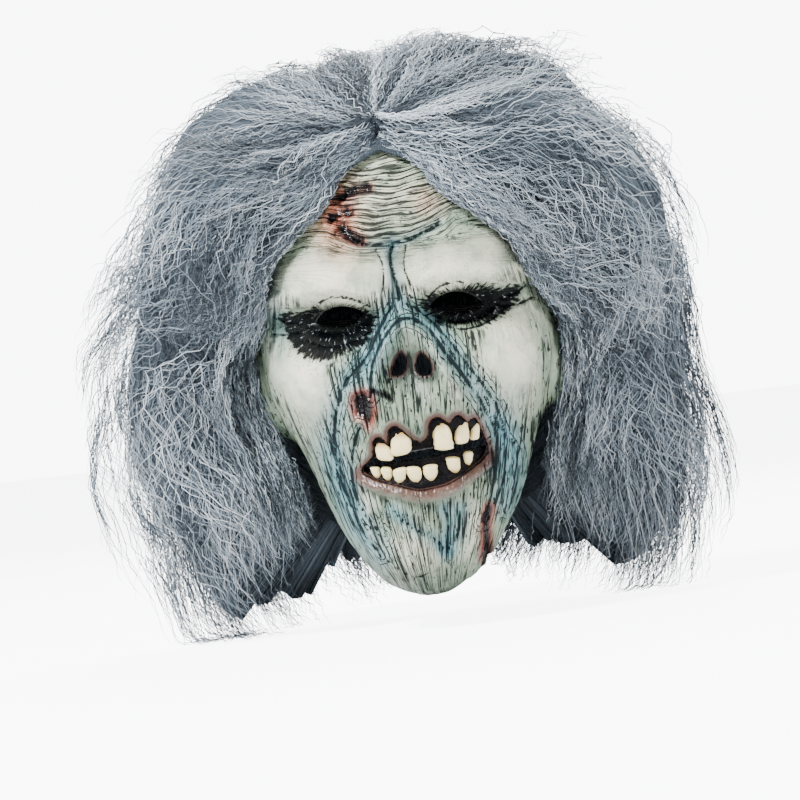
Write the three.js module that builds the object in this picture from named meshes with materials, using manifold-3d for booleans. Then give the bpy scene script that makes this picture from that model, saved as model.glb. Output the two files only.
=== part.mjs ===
// A latex monster mask with a wig of crimped hair, in millimetres, +Z up.
// The face looks along -Y and the wearer's left is +X. The origin is the middle of the wearer's head,
// between the ears at eye height. The skin is a thin shell from under the chin over the crown to just
// behind the ears, open at the back. Hair wefts are glued to it, teeth sit in black gums behind the
// lips, and an elastic strap behind the head holds the mask on.
import * as THREE from "three";
import { mergeVertices } from "three/addons/utils/BufferGeometryUtils.js";
import Module from "manifold-3d";

const wasm = await Module();
wasm.setup();

// ---------------------------------------------------------------- driving dimensions
const FIT_GAP = 0.4; // between pieces that are glued or laid on each other
const SKIN_THICK = 2.5; // latex wall
const SKIN_GRID = 28; // cells along each side of the skin's square grid
const HEAD_CENTRE = new THREE.Vector3(0, 10, -20); // every shell is a radius about this point
const EYE = { x: 32, z: -1.5, width: 27, height: 11 };
const NOSTRILS = [
  [[-7.5, -37.5], [-4.5, -30], [-0.8, -25.5], [0.4, -31], [-2.2, -37.5]],
  [[5.6, -37.5], [5, -31], [8.6, -26], [13.4, -31], [13.6, -38]],
];
const LIPS = [
  [-30, -84], [-23, -75], [-17, -67.5], [-6, -63], [4, -70.5], [14, -61], [26, -61], [35, -67],
  [39.5, -80], [31, -90], [17, -97.5], [3, -99.5], [-13, -96], [-24, -90],
];
const GUM_OUTLINE = [
  [-37, -80], [-27, -60], [4, -55], [34, -58], [45, -78], [33, -98], [4, -107], [-28, -99],
];
const MOUTH_LINE = { y: -97, z: -80, slope: 12.2, roll: 3, slit: 5.6 }; // plane between the jaws, degrees
const JAW_GAP = 1.0; // between the jaw's skin and the face's skin
const GUM_THICK = 3.2;
const TOOTH = { depth: 3.4, bevelDepth: 0.6, bevelSize: 0.5, proud: 1.6 };
const WEFT = { thick: 1.2, rise: 7, cells: 12, aboveHairline: 2, crownRise: 68 };
const HAIR_GAP = 3.9; // from the skin to the underside of the hair
const STRAP = { width: 20, thick: 1.4, z: -10, anchorY: 12, backY: 98, straight: 40, standoff: 7.8 };
const STRAP_TAIL_LENGTH = 56;
const PATCH = { thick: 1, from: 83, to: 99, lower: -1, rise: 15 }; // angles round the head, and elevations
const RIVET = { shaft: 2, head: 4.5, headThick: 1.6, clearance: 0.15, proud: 1.6 };
const SLIDER = { length: 12, height: 27, wall: 1.8, bar: 1.2, clearance: 0.7, play: 0.8 };
// The cutting tools only have to reach past what they cut.
const CUTTER = { inside: 50, outside: 200, depth: 110, start: -40, block: [400, 600, 300] };
const ANCHOR_BORE = { length: 30, x: 85 };

// ---------------------------------------------------------------- head shape
// Radii from HEAD_CENTRE in millimetres against elevation in degrees: [elevation, radius].
const FRONT_PROFILE = [
  [-90, 140], [-68, 146], [-59.7, 151], [-50, 143.5], [-41, 131], [-30.5, 119], [-21, 112.5],
  [-8, 105], [8.5, 101.5], [21, 109], [43, 123], [63, 132], [90, 138],
];
const SIDE_PROFILE = [
  [-90, 118], [-59, 100.5], [-48, 90], [-38, 83.5], [-22, 80.5], [-3.5, 81], [13.5, 85], [37, 99],
  [54, 116], [71, 131], [90, 138],
];
const REAR_PROFILE = [[-90, 112], [-40, 90], [0, 92], [40, 112], [65, 130], [90, 138]];
// How far the skin reaches, in degrees from straight ahead, against the angle round the face
// (-90 under the chin, 0 at either ear, 90 over the crown).
const SKIN_REACH = [[-90, 70], [-60, 76], [-30, 97], [0, 102.5], [30, 100], [65, 107], [90, 112]];
// Sculpted forms: x, z, half-width, half-height, turn in degrees, height of the form.
const FORMS = [
  [-30, 17, 21, 7.5, -7, 9], [30, 17, 21, 7.5, 7, 9], // brow ridges
  [0, 9, 4, 12, 0, -3.5], // furrow between the brows
  [-33, -4, 17, 9, -4, -11], [33, -4, 17, 9, 4, -11], // eye sockets
  [-52, -33, 15, 15, 0, 6], [52, -33, 15, 15, 0, 6], // cheekbones
  [1, -12, 7, 9, 0, 6], // bridge of the nose
  [-12, -30, 5, 18, -22, 6], [15, -30, 5, 18, 22, 6], // rims of the nose
  [2.5, -33, 8, 10, 0, -5], // hollow of the nose
  [3, -60, 26, 14, 0, 5], // upper lip
  [4, -105, 26, 7, 2, 5], // lower lip
  [-10, -131, 15, 13, 0, 7], [19, -127, 6, 14, 8, 4], [8, -124, 4, 15, 0, -4], // chin
  [-47, -72, 11, 22, 8, -6], [49, -70, 11, 22, -8, -6], // hollows of the cheeks
];
const EAR = { y: -14, reach: 34, z: -28, halfHeight: 34, flare: 9 };
// Outer surface of the hair, as radii from HEAD_CENTRE against elevation.
const HAIR_FRONT = [[30, 138], [50, 150], [70, 160], [90, 162]];
const HAIR_SIDE = [
  [-60, 158], [-40, 156], [-20, 159], [0, 162], [20, 162], [46, 174], [60, 172], [75, 166], [90, 162],
];
const HAIR_LEAN = { share: 0.11, rise: -14, spread: 28 }; // the hair on the wearer's right stands out further
const HAIR_REAR = [[-60, 148], [-30, 142], [0, 140], [30, 144], [60, 154], [90, 162]];
// Inner surface of the hair that hangs free of the skin.
const HANG_INNER = [[-60, 122], [-40, 113], [-20, 111], [20, 112], [40, 113], [60, 128]];
// Lower edge of the crown hair, as elevation against the angle from straight ahead.
const HAIRLINE = [[0, 52], [20, 44], [40, 35], [60, 38], [78, 41], [180, 41]];
// The masses that hang: their angles round the head and their elevations.
const SIDE_HAIR = { turns: [62, 125], rises: [-56, 34], cells: [7, 8] };
const BACK_HAIR = { turns: [128, 232], rises: [-56, 33], cells: [10, 8] };

// ---------------------------------------------------------------- small tools
const radians = THREE.MathUtils.degToRad;
const degrees = THREE.MathUtils.radToDeg;

/** A smooth curve through a table of [at, value] rows, read at one place (cubic Hermite). */
function through(table, at) {
  const last = table.length - 1;
  const clamped = THREE.MathUtils.clamp(at, table[0][0], table[last][0]);
  let i = 0;
  while (i < last - 1 && clamped > table[i + 1][0]) i++;
  const [x0, y0] = table[i];
  const [x1, y1] = table[i + 1];
  const slope = (j) => {
    const [xa, ya] = table[Math.max(j - 1, 0)];
    const [xb, yb] = table[Math.min(j + 1, last)];
    return (yb - ya) / (xb - xa);
  };
  const h = x1 - x0;
  const t = (clamped - x0) / h;
  const t2 = t * t;
  const t3 = t2 * t;
  return (2 * t3 - 3 * t2 + 1) * y0 + (t3 - 2 * t2 + t) * h * slope(i)
    + (3 * t2 - 2 * t3) * y1 + (t3 - t2) * h * slope(i + 1);
}

/** Unit direction from an angle round the head (0 ahead, 90 to +X) and an elevation, in degrees. */
function heading(turn, rise) {
  const t = radians(turn);
  const r = radians(rise);
  return new THREE.Vector3(Math.cos(r) * Math.sin(t), -Math.cos(r) * Math.cos(t), Math.sin(r));
}

/** Point at a radius from HEAD_CENTRE. */
const at = (direction, radius) => HEAD_CENTRE.clone().addScaledVector(direction, radius);

/** Radius of a rounded section between a front or rear profile and a side profile, round at the poles. */
function blendRadius(direction, front, side, rear, power) {
  const rise = degrees(Math.asin(THREE.MathUtils.clamp(direction.z, -1, 1)));
  const level = Math.hypot(direction.x, direction.y) || 1e-9;
  const ahead = -direction.y / level;
  const across = Math.abs(direction.x) / level;
  const long = through(ahead > 0 ? front : rear, rise);
  const wide = through(side, rise);
  const n = 2 + (power - 2) * level * level;
  return ((Math.abs(ahead) / long) ** n + (across / wide) ** n) ** (-1 / n);
}

/** Outer radius of the latex skin: the rounded head, its sculpted forms and the flare of the ears. */
function skinRadius(direction) {
  const base = blendRadius(direction, FRONT_PROFILE, SIDE_PROFILE, REAR_PROFILE, 2.3);
  const p = at(direction, base);
  const facing = THREE.MathUtils.smoothstep(-direction.y, 0.05, 0.5);
  let radius = base;
  for (const [x, z, width, height, turn, lift] of FORMS) {
    const c = Math.cos(radians(turn));
    const s = Math.sin(radians(turn));
    const across = ((p.x - x) * c + (p.z - z) * s) / width;
    const up = (-(p.x - x) * s + (p.z - z) * c) / height;
    radius += facing * lift * Math.exp(-0.5 * (across * across + up * up));
  }
  const backward = THREE.MathUtils.clamp((p.y - EAR.y) / EAR.reach, 0, 1);
  const along = (p.z - EAR.z) / EAR.halfHeight;
  return radius + EAR.flare * backward ** 1.5 * Math.exp(-(along ** 4));
}

/** A mesh's geometry as a solid that can be joined and cut. */
function toSolid(geometry) {
  const bare = geometry.clone();
  bare.deleteAttribute("normal");
  bare.deleteAttribute("uv");
  const merged = mergeVertices(bare, 1e-4);
  return new wasm.Manifold(new wasm.Mesh({
    numProp: 3,
    vertProperties: merged.attributes.position.array,
    triVerts: new Uint32Array(merged.index.array),
  }));
}

/** A solid back as geometry. */
function toGeometry(solid) {
  const mesh = solid.getMesh();
  const geometry = new THREE.BufferGeometry()
    .setAttribute("position", new THREE.BufferAttribute(mesh.vertProperties, 3))
    .setIndex(new THREE.BufferAttribute(mesh.triVerts, 1));
  geometry.computeVertexNormals();
  return geometry;
}

/**
 * A closed wall between two surfaces on one grid: outer(u, v) and inner(u, v), u and v from 0 to 1.
 * With round, u = 1 meets u = 0; with pole, the whole edge v = 1 is one point.
 */
function wall(cellsU, cellsV, outer, inner, { round = false, pole = false } = {}) {
  const columns = round ? cellsU : cellsU + 1;
  const rows = cellsV + 1;
  const points = [];
  for (const surface of [outer, inner])
    for (let j = 0; j < rows; j++)
      for (let i = 0; i < columns; i++) points.push(surface(i / cellsU, j / cellsV));
  const layer = columns * rows;
  const index = (side, i, j) => {
    const column = pole && j === cellsV ? 0 : i % columns;
    return side * layer + j * columns + column;
  };
  const faces = [];
  const quad = (a, b, c, d) => {
    if (a !== b && b !== c && a !== c) faces.push(a, b, c);
    if (a !== c && c !== d && a !== d) faces.push(a, c, d);
  };
  for (let j = 0; j < cellsV; j++)
    for (let i = 0; i < cellsU; i++) {
      quad(index(0, i, j), index(0, i + 1, j), index(0, i + 1, j + 1), index(0, i, j + 1));
      quad(index(1, i, j), index(1, i, j + 1), index(1, i + 1, j + 1), index(1, i + 1, j));
    }
  for (let i = 0; i < cellsU; i++) {
    quad(index(1, i, 0), index(1, i + 1, 0), index(0, i + 1, 0), index(0, i, 0));
    if (!pole)
      quad(index(0, i, cellsV), index(0, i + 1, cellsV), index(1, i + 1, cellsV), index(1, i, cellsV));
  }
  if (!round)
    for (let j = 0; j < cellsV; j++) {
      quad(index(1, 0, j + 1), index(1, 0, j), index(0, 0, j), index(0, 0, j + 1));
      quad(index(0, cellsU, j + 1), index(0, cellsU, j), index(1, cellsU, j), index(1, cellsU, j + 1));
    }
  const geometry = new THREE.BufferGeometry().setFromPoints(points).setIndex(faces);
  const used = mergeVertices(geometry.toNonIndexed(), 1e-5);
  used.computeVertexNormals();
  return used;
}

/** A prism that cuts through the front of the face along Y, from an outline of [x, z] points. */
function faceCutter(outline, steps) {
  const curve = new THREE.CatmullRomCurve3(outline.map(([x, z]) => new THREE.Vector3(x, z, 0)), true);
  const points = curve.getPoints(steps).slice(0, steps);
  const shape = new THREE.Shape(points.map((p) => new THREE.Vector2(p.x, p.y)));
  const prism = new THREE.ExtrudeGeometry(shape, { depth: CUTTER.depth, bevelEnabled: false });
  prism.rotateX(Math.PI / 2);
  prism.translate(0, CUTTER.start, 0);
  return toSolid(prism);
}

/** The space below a plane through the mouth, moved down by drop and tipped up to the back by slope. */
function belowMouthLine(drop, slope) {
  const block = new THREE.BoxGeometry(...CUTTER.block);
  block.translate(0, 0, -CUTTER.block[2] / 2 - drop);
  block.rotateX(radians(slope));
  block.rotateY(-radians(MOUTH_LINE.roll));
  block.translate(0, MOUTH_LINE.y, MOUTH_LINE.z);
  return toSolid(block);
}

const mask = new THREE.Group();

/** Adds a named piece to the mask. */
function piece(name, geometry, material, parent = mask) {
  const mesh = new THREE.Mesh(geometry, material);
  mesh.name = name;
  parent.add(mesh);
  return mesh;
}

const latex = new THREE.MeshStandardMaterial({ color: 0xc9ceb9, roughness: 0.5, metalness: 0 });
const gumBlack = new THREE.MeshStandardMaterial({ color: 0x1d1f24, roughness: 0.35, metalness: 0 });
const enamel = new THREE.MeshStandardMaterial({ color: 0xf1e7c0, roughness: 0.3, metalness: 0 });
const hairGrey = new THREE.MeshStandardMaterial({ color: 0x77838f, roughness: 0.8, metalness: 0 });
const tape = new THREE.MeshStandardMaterial({ color: 0x4a5058, roughness: 0.9, metalness: 0 });
const elastic = new THREE.MeshStandardMaterial({ color: 0x17181a, roughness: 0.85, metalness: 0 });
const plastic = new THREE.MeshStandardMaterial({ color: 0x101113, roughness: 0.4, metalness: 0 });
const steel = new THREE.MeshStandardMaterial({ color: 0xb9bcc0, roughness: 0.3, metalness: 1 });

// ---------------------------------------------------------------- latex skin
// The skin's grid is a square pulled round into a disc, so it has no pole on the face.
function skinDirection(u, v) {
  const a = 2 * u - 1;
  const b = 2 * v - 1;
  const x = a * Math.sqrt(1 - (b * b) / 2);
  const y = b * Math.sqrt(1 - (a * a) / 2);
  const round = Math.atan2(y, Math.abs(x));
  const angle = Math.hypot(x, y) * radians(through(SKIN_REACH, degrees(round)));
  const spin = Math.atan2(y, x);
  return new THREE.Vector3(
    Math.sin(angle) * Math.cos(spin), -Math.cos(angle), Math.sin(angle) * Math.sin(spin));
}
const skinAt = (u, v, depth) => {
  const d = skinDirection(u, v);
  return at(d, skinRadius(d) - depth);
};
/** The layer between two depths below the skin's outer surface; a depth above it is negative. */
const skinLayer = (outer, inner) =>
  toSolid(wall(SKIN_GRID, SKIN_GRID, (u, v) => skinAt(u, v, outer), (u, v) => skinAt(u, v, inner)));

/** A wedge about HEAD_CENTRE over a span of turn, between a lower edge and a rise above it. */
function wedge(turns, lower, rise, cells) {
  const where = (u, v) => {
    const turn = THREE.MathUtils.lerp(...turns, u);
    return heading(turn, lower(turn) + rise * v);
  };
  return toSolid(wall(
    cells, 1,
    (u, v) => at(where(u, v), CUTTER.outside),
    (u, v) => at(where(u, v), CUTTER.inside),
  ));
}
const anchorHole = (side) => {
  const radius = RIVET.shaft + RIVET.clearance;
  const bore = new THREE.CylinderGeometry(radius, radius, ANCHOR_BORE.length, 16);
  bore.rotateZ(Math.PI / 2);
  bore.translate(side * ANCHOR_BORE.x, STRAP.anchorY, STRAP.z);
  return toSolid(bore);
};
function almond(centreX, centreZ, width, height) {
  const lids = [];
  for (let i = 0; i < 10; i++) {
    const t = (2 * Math.PI * i) / 10;
    const rise = Math.sign(Math.sin(t)) * Math.abs(Math.sin(t)) ** 1.3;
    lids.push([centreX + (width / 2) * Math.cos(t), centreZ + (height / 2) * rise]);
  }
  return lids;
}
let skin = skinLayer(0, SKIN_THICK);
for (const side of [-1, 1]) {
  skin = skin.subtract(faceCutter(almond(side * EYE.x, EYE.z, EYE.width, EYE.height), 20));
  skin = skin.subtract(anchorHole(side));
}
for (const outline of NOSTRILS) skin = skin.subtract(faceCutter(outline, 12));
skin = skin.subtract(faceCutter(LIPS, 36));
piece("face_skin", toGeometry(skin.subtract(belowMouthLine(-JAW_GAP / 2, MOUTH_LINE.slope))), latex);
piece("jaw_skin", toGeometry(skin.intersect(belowMouthLine(JAW_GAP / 2, MOUTH_LINE.slope))), latex);

// ---------------------------------------------------------------- gums and teeth
// One lining behind the lips, cut in two along the bite.
const gumFront = SKIN_THICK + FIT_GAP;
const gums = skinLayer(gumFront, gumFront + GUM_THICK).intersect(faceCutter(GUM_OUTLINE, 24));
piece("upper_gum", toGeometry(gums.subtract(belowMouthLine(-MOUTH_LINE.slit / 2, 0))), gumBlack);
piece("lower_gum", toGeometry(gums.intersect(belowMouthLine(MOUTH_LINE.slit / 2, 0))), gumBlack);

/** A tooth's outline, root at the top: a rounded shield that narrows to its root. */
function toothShape(width, height) {
  const w = width / 2;
  const h = height / 2;
  const shape = new THREE.Shape();
  shape.moveTo(-0.55 * w, 0.8 * h);
  shape.quadraticCurveTo(0, 1.15 * h, 0.55 * w, 0.8 * h);
  shape.quadraticCurveTo(0.95 * w, 0.1 * h, w, -0.7 * h);
  shape.quadraticCurveTo(0.2 * w, -1.15 * h, -w, -0.75 * h);
  shape.quadraticCurveTo(-0.95 * w, 0.1 * h, -0.55 * w, 0.8 * h);
  return shape;
}
// x, z, width, height of each tooth, from the wearer's right to left.
const UPPER_TEETH = [
  [-16, -75, 8, 9.5], [-6, -72, 10.5, 12], [15, -70.5, 10.5, 14], [25.5, -70, 7.6, 12], [32.3, -71, 4.6, 9],
];
const LOWER_TEETH = [
  [-21.5, -87, 4.8, 5.5], [-15.8, -88.2, 5.4, 6.5], [-9, -90, 6.6, 7.5], [-1.3, -91, 7, 8.5],
  [6.8, -91, 7.2, 8.2], [19, -88.8, 6.8, 8], [27, -86, 4.8, 6.6],
];

/** Sets one tooth on the front of the gums, facing out from the head. */
function tooth(name, [x, z, width, height], rootUp) {
  const geometry = new THREE.ExtrudeGeometry(toothShape(width, height), {
    depth: TOOTH.depth - 2 * TOOTH.bevelDepth,
    bevelThickness: TOOTH.bevelDepth,
    bevelSize: TOOTH.bevelSize,
    bevelOffset: -TOOTH.bevelSize,
    bevelSegments: 1,
    curveSegments: 2,
  });
  geometry.translate(0, 0, TOOTH.bevelDepth);
  const mesh = piece(name, geometry, enamel);
  // The direction whose gum point has this x and z, found by stepping the aim to it.
  const aim = new THREE.Vector3(x, -100, z - HEAD_CENTRE.z);
  let d = aim.clone().normalize();
  for (let step = 0; step < 4; step++) {
    const reach = skinRadius(d) - gumFront;
    aim.y = -Math.sqrt(Math.max(reach * reach - aim.x * aim.x - aim.z * aim.z, 1));
    d = aim.clone().normalize();
  }
  const outward = new THREE.Vector3(d.x, d.y, d.z * 0.35).normalize();
  const up = new THREE.Vector3(0, 0, rootUp ? 1 : -1);
  const right = up.clone().cross(outward).normalize();
  const crown = outward.clone().cross(right);
  mesh.quaternion.setFromRotationMatrix(new THREE.Matrix4().makeBasis(right, crown, outward));
  mesh.position.copy(at(d, skinRadius(d) - gumFront)).addScaledVector(outward, TOOTH.proud);
}
UPPER_TEETH.forEach((t, i) => tooth(`upper_tooth_${i + 1}`, t, true));
LOWER_TEETH.forEach((t, i) => tooth(`lower_tooth_${i + 1}`, t, false));

// ---------------------------------------------------------------- hair and its wefts
function hairRadius(d) {
  const height = (degrees(Math.asin(d.z)) - HAIR_LEAN.rise) / HAIR_LEAN.spread;
  const lean = HAIR_LEAN.share * Math.max(0, -d.x) ** 2 * Math.exp(-height * height);
  return blendRadius(d, HAIR_FRONT, HAIR_SIDE, HAIR_REAR, 2) * (1 + lean);
}
const hangInner = (d) => through(HANG_INNER, degrees(Math.asin(d.z)));

/** A mass of hair over a span of turn and rise, between the inner surface of the hang and the outer one. */
function hairMass({ turns, rises, cells }) {
  const where = (u, v) => heading(THREE.MathUtils.lerp(...turns, u), THREE.MathUtils.lerp(...rises, v));
  return wall(
    ...cells,
    (u, v) => at(where(u, v), hairRadius(where(u, v))),
    (u, v) => at(where(u, v), hangInner(where(u, v))),
  );
}
const crownHeading = (u, v) => {
  const turn = 360 * u - 180;
  return heading(turn, THREE.MathUtils.lerp(through(HAIRLINE, Math.abs(turn)), 90, v));
};
piece("crown_hair", wall(
  32, 6,
  (u, v) => at(crownHeading(u, v), hairRadius(crownHeading(u, v))),
  (u, v) => at(crownHeading(u, v), skinRadius(crownHeading(u, v)) + HAIR_GAP),
  { round: true, pole: true },
), hairGrey);
piece("left_hair", hairMass(SIDE_HAIR), hairGrey);
const rightTurns = SIDE_HAIR.turns.map((turn) => -turn).reverse();
piece("right_hair", hairMass({ ...SIDE_HAIR, turns: rightTurns }), hairGrey);
piece("back_hair", hairMass(BACK_HAIR), hairGrey);

const weftLayer = skinLayer(-FIT_GAP - WEFT.thick, -FIT_GAP);

/** A sewn tape that carries a weft: a band of the layer on the skin. */
const weftTape = (name, turns, lower) =>
  piece(name, toGeometry(weftLayer.intersect(wedge(turns, lower, WEFT.rise, WEFT.cells))), tape);
weftTape("hairline_weft_left", [3, 96], (turn) => through(HAIRLINE, turn) + WEFT.aboveHairline);
weftTape("hairline_weft_right", [-96, -3], (turn) => through(HAIRLINE, -turn) + WEFT.aboveHairline);
weftTape("crown_weft_left", [8, 150], () => WEFT.crownRise);
weftTape("crown_weft_right", [-150, -8], () => WEFT.crownRise);

// ---------------------------------------------------------------- strap, patches, rivets and slider
const anchorSkin = (() => {
  // Outer x of the skin where the strap is riveted, found by stepping out along X.
  let x = ANCHOR_BORE.x;
  for (let step = 0; step < 8; step++) {
    const reach = new THREE.Vector3(x, STRAP.anchorY, STRAP.z).sub(HEAD_CENTRE);
    const gap = skinRadius(reach.clone().normalize()) - reach.length();
    x += gap;
  }
  return x;
})();
const patchLayer = skinLayer(SKIN_THICK + FIT_GAP, SKIN_THICK + FIT_GAP + PATCH.thick);
const strapOuterX = anchorSkin - STRAP.standoff;

for (const [side, word] of [[1, "left"], [-1, "right"]]) {
  const span = side > 0 ? [PATCH.from, PATCH.to] : [-PATCH.to, -PATCH.from];
  const patch = patchLayer.intersect(wedge(span, () => PATCH.lower, PATCH.rise, 2));
  piece(`strap_patch_${word}`, toGeometry(patch.subtract(anchorHole(side))), tape);

  // The rivet is turned: head, shaft and inner washer head, closed on its axis.
  const outerFace = anchorSkin + RIVET.proud;
  const innerFace = strapOuterX - STRAP.thick - FIT_GAP;
  const profile = [
    [0, innerFace - RIVET.headThick], [RIVET.head, innerFace - RIVET.headThick * 0.6],
    [RIVET.head, innerFace],
    [RIVET.shaft, innerFace], [RIVET.shaft, outerFace], [RIVET.head, outerFace],
    [RIVET.head, outerFace + RIVET.headThick * 0.5], [0, outerFace + RIVET.headThick],
  ].map(([r, y]) => new THREE.Vector2(r, y));
  const rivet = piece(`strap_rivet_${word}`, new THREE.LatheGeometry(profile, 16), steel);
  rivet.position.set(0, STRAP.anchorY, STRAP.z);
  rivet.rotation.z = (-side * Math.PI) / 2;
}

/** The strap's path in plan, from its left end round the back of the head to its right end. */
function strapPath(inset) {
  const x = strapOuterX - inset;
  const y = STRAP.backY + STRAP.thick - inset;
  const corner = STRAP.straight / 2 + 4;
  const path = new THREE.Path();
  path.moveTo(x, STRAP.anchorY - 5);
  path.lineTo(x, STRAP.anchorY + 8);
  path.bezierCurveTo(x, 62, corner + 30, y, corner, y);
  path.lineTo(-corner, y);
  path.bezierCurveTo(-corner - 30, y, -x, 62, -x, STRAP.anchorY + 8);
  path.lineTo(-x, STRAP.anchorY - 5);
  return path.getPoints(12);
}
const band = new THREE.ExtrudeGeometry(
  new THREE.Shape([...strapPath(0), ...strapPath(STRAP.thick).reverse()]),
  { depth: STRAP.width, bevelEnabled: false },
);
band.translate(0, 0, STRAP.z - STRAP.width / 2);
piece("elastic_strap", toGeometry(toSolid(band).subtract(anchorHole(1)).subtract(anchorHole(-1))), elastic);

const barY = STRAP.backY + STRAP.thick + SLIDER.clearance;
const tailY = barY + SLIDER.bar + SLIDER.clearance;
const tail = new THREE.BoxGeometry(STRAP_TAIL_LENGTH, STRAP.thick, STRAP.width);
piece("strap_tail", tail, elastic).position.set(0, tailY + STRAP.thick / 2, STRAP.z);

const sliderInner = { from: STRAP.backY - SLIDER.play, to: tailY + STRAP.thick + SLIDER.play };
function sliderGeometry() {
  const depth = sliderInner.to - sliderInner.from + 2 * SLIDER.wall;
  const middle = (sliderInner.to + sliderInner.from) / 2;
  const block = new THREE.BoxGeometry(SLIDER.length, depth, SLIDER.height);
  block.translate(0, middle, STRAP.z);
  let frame = toSolid(block);
  for (const [low, high] of [[sliderInner.from, barY], [barY + SLIDER.bar, sliderInner.to]]) {
    const slot = new THREE.BoxGeometry(SLIDER.length * 2, high - low, STRAP.width + 2 * SLIDER.play);
    slot.translate(0, (low + high) / 2, STRAP.z);
    frame = frame.subtract(toSolid(slot));
  }
  return toGeometry(frame);
}
piece("strap_slider", sliderGeometry(), plastic);

export default mask;
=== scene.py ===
# The looks of the latex monster mask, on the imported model's frame. Lengths in the tables are
# millimetres in that frame: the face looks along -Y, +X is the wearer's left, +Z is up.
import math
import bpy
import numpy as np
from mathutils import Matrix, Vector


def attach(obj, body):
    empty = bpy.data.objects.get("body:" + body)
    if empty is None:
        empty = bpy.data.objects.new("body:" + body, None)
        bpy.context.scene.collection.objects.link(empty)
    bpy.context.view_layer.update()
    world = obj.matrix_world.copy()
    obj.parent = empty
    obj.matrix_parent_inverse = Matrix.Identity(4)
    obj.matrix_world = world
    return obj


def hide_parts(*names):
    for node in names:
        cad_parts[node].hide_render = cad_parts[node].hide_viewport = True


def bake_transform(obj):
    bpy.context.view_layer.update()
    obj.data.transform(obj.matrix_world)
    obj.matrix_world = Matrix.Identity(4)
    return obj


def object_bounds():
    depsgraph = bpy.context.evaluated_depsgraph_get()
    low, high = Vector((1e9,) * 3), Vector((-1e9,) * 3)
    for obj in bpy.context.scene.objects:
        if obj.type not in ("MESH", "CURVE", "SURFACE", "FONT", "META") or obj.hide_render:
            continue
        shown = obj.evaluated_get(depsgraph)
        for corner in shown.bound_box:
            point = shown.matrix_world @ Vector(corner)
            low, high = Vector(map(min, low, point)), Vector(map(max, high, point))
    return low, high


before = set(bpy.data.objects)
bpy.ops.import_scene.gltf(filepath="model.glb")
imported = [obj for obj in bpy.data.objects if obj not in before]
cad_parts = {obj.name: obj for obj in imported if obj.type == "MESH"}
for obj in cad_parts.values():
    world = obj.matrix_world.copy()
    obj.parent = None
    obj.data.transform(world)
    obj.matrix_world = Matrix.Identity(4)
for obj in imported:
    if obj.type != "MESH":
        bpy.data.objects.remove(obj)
cad_low, cad_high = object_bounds()

# ---------------------------------------------------------------- camera, floor and light
# The camera stands two metres off, turned a little to the wearer's left and rolled so that the head
# leans over. The floor lies just under the mask, and large soft lights keep the shadows open.
CAMERA_TURN, CAMERA_ROLL, CAMERA_AWAY = math.radians(3.0), math.radians(7.1), 2.0
SENSOR_WIDTH, VIEW_WIDTH = 36.0, 0.424
aim = Vector((-0.0047, -0.080, -0.0501))
away = Vector((math.sin(CAMERA_TURN), -math.cos(CAMERA_TURN), 0.0))
level = Vector((math.cos(CAMERA_TURN), math.sin(CAMERA_TURN), 0.0))
upright = Vector((0.0, 0.0, 1.0))
right = level * math.cos(CAMERA_ROLL) - upright * math.sin(CAMERA_ROLL)
top = upright * math.cos(CAMERA_ROLL) + level * math.sin(CAMERA_ROLL)
camera_data = bpy.data.cameras.new("camera")
camera_data.lens = SENSOR_WIDTH * CAMERA_AWAY / VIEW_WIDTH
camera_data.clip_end = 50.0
camera = bpy.data.objects.new("camera", camera_data)
camera.matrix_world = Matrix.Translation(aim
                                         + away * CAMERA_AWAY) @ Matrix((right, top,
                                             away)).transposed().to_4x4()
bpy.context.scene.collection.objects.link(camera)
bpy.context.scene.camera = camera

floor_mesh = bpy.data.meshes.new("floor")
FLOOR_DROP = 0.017
floor_z = cad_low.z - FLOOR_DROP
floor_mesh.from_pydata([(-9, -6, floor_z), (9, -6, floor_z), (9, 12, floor_z), (-9, 12, floor_z)], [],
                       [(0, 1, 2, 3)])
floor = bpy.data.objects.new("floor", floor_mesh)
bpy.context.scene.collection.objects.link(floor)

# The world and the floor are brighter to the camera than to the lighting, for a white ground.
WORLD_LIGHTING, WORLD_SEEN, FLOOR_SEEN = 0.32, 9.0, 7.0
world = bpy.data.worlds.new("studio")
world.use_nodes = True
world.node_tree.nodes["Background"].inputs["Color"].default_value = (0.97, 0.98, 1.0, 1)
seen = world.node_tree.nodes.new("ShaderNodeLightPath")
brightness = world.node_tree.nodes.new("ShaderNodeMapRange")
brightness.inputs["To Min"].default_value = WORLD_LIGHTING
brightness.inputs["To Max"].default_value = WORLD_SEEN
world.node_tree.links.new(seen.outputs["Is Camera Ray"], brightness.inputs["Value"])
world.node_tree.links.new(brightness.outputs["Result"],
                          world.node_tree.nodes["Background"].inputs["Strength"])
bpy.context.scene.world = world
for name, place, size, power in (
    ("key", (-1.1, -1.25, 1.7), 0.4, 170.0),
    ("fill", (1.6, -1.4, 0.2), 1.0, 42.0),
    ("rim", (0.2, 1.2, 1.3), 1.2, 60.0),
):
    light_data = bpy.data.lights.new(name, "AREA")
    light_data.size = size
    light_data.energy = power
    light = bpy.data.objects.new(name, light_data)
    light.location = place
    light.rotation_euler = (aim - light.location).to_track_quat("-Z", "Y").to_euler()
    bpy.context.scene.collection.objects.link(light)


def linear(*colour):
    """A linear colour from red, green and blue written from 0 to 255."""
    c = np.array(colour) / 255
    return np.where(c <= 0.04045, c / 12.92, ((c + 0.055) / 1.055) ** 2.4)


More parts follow.
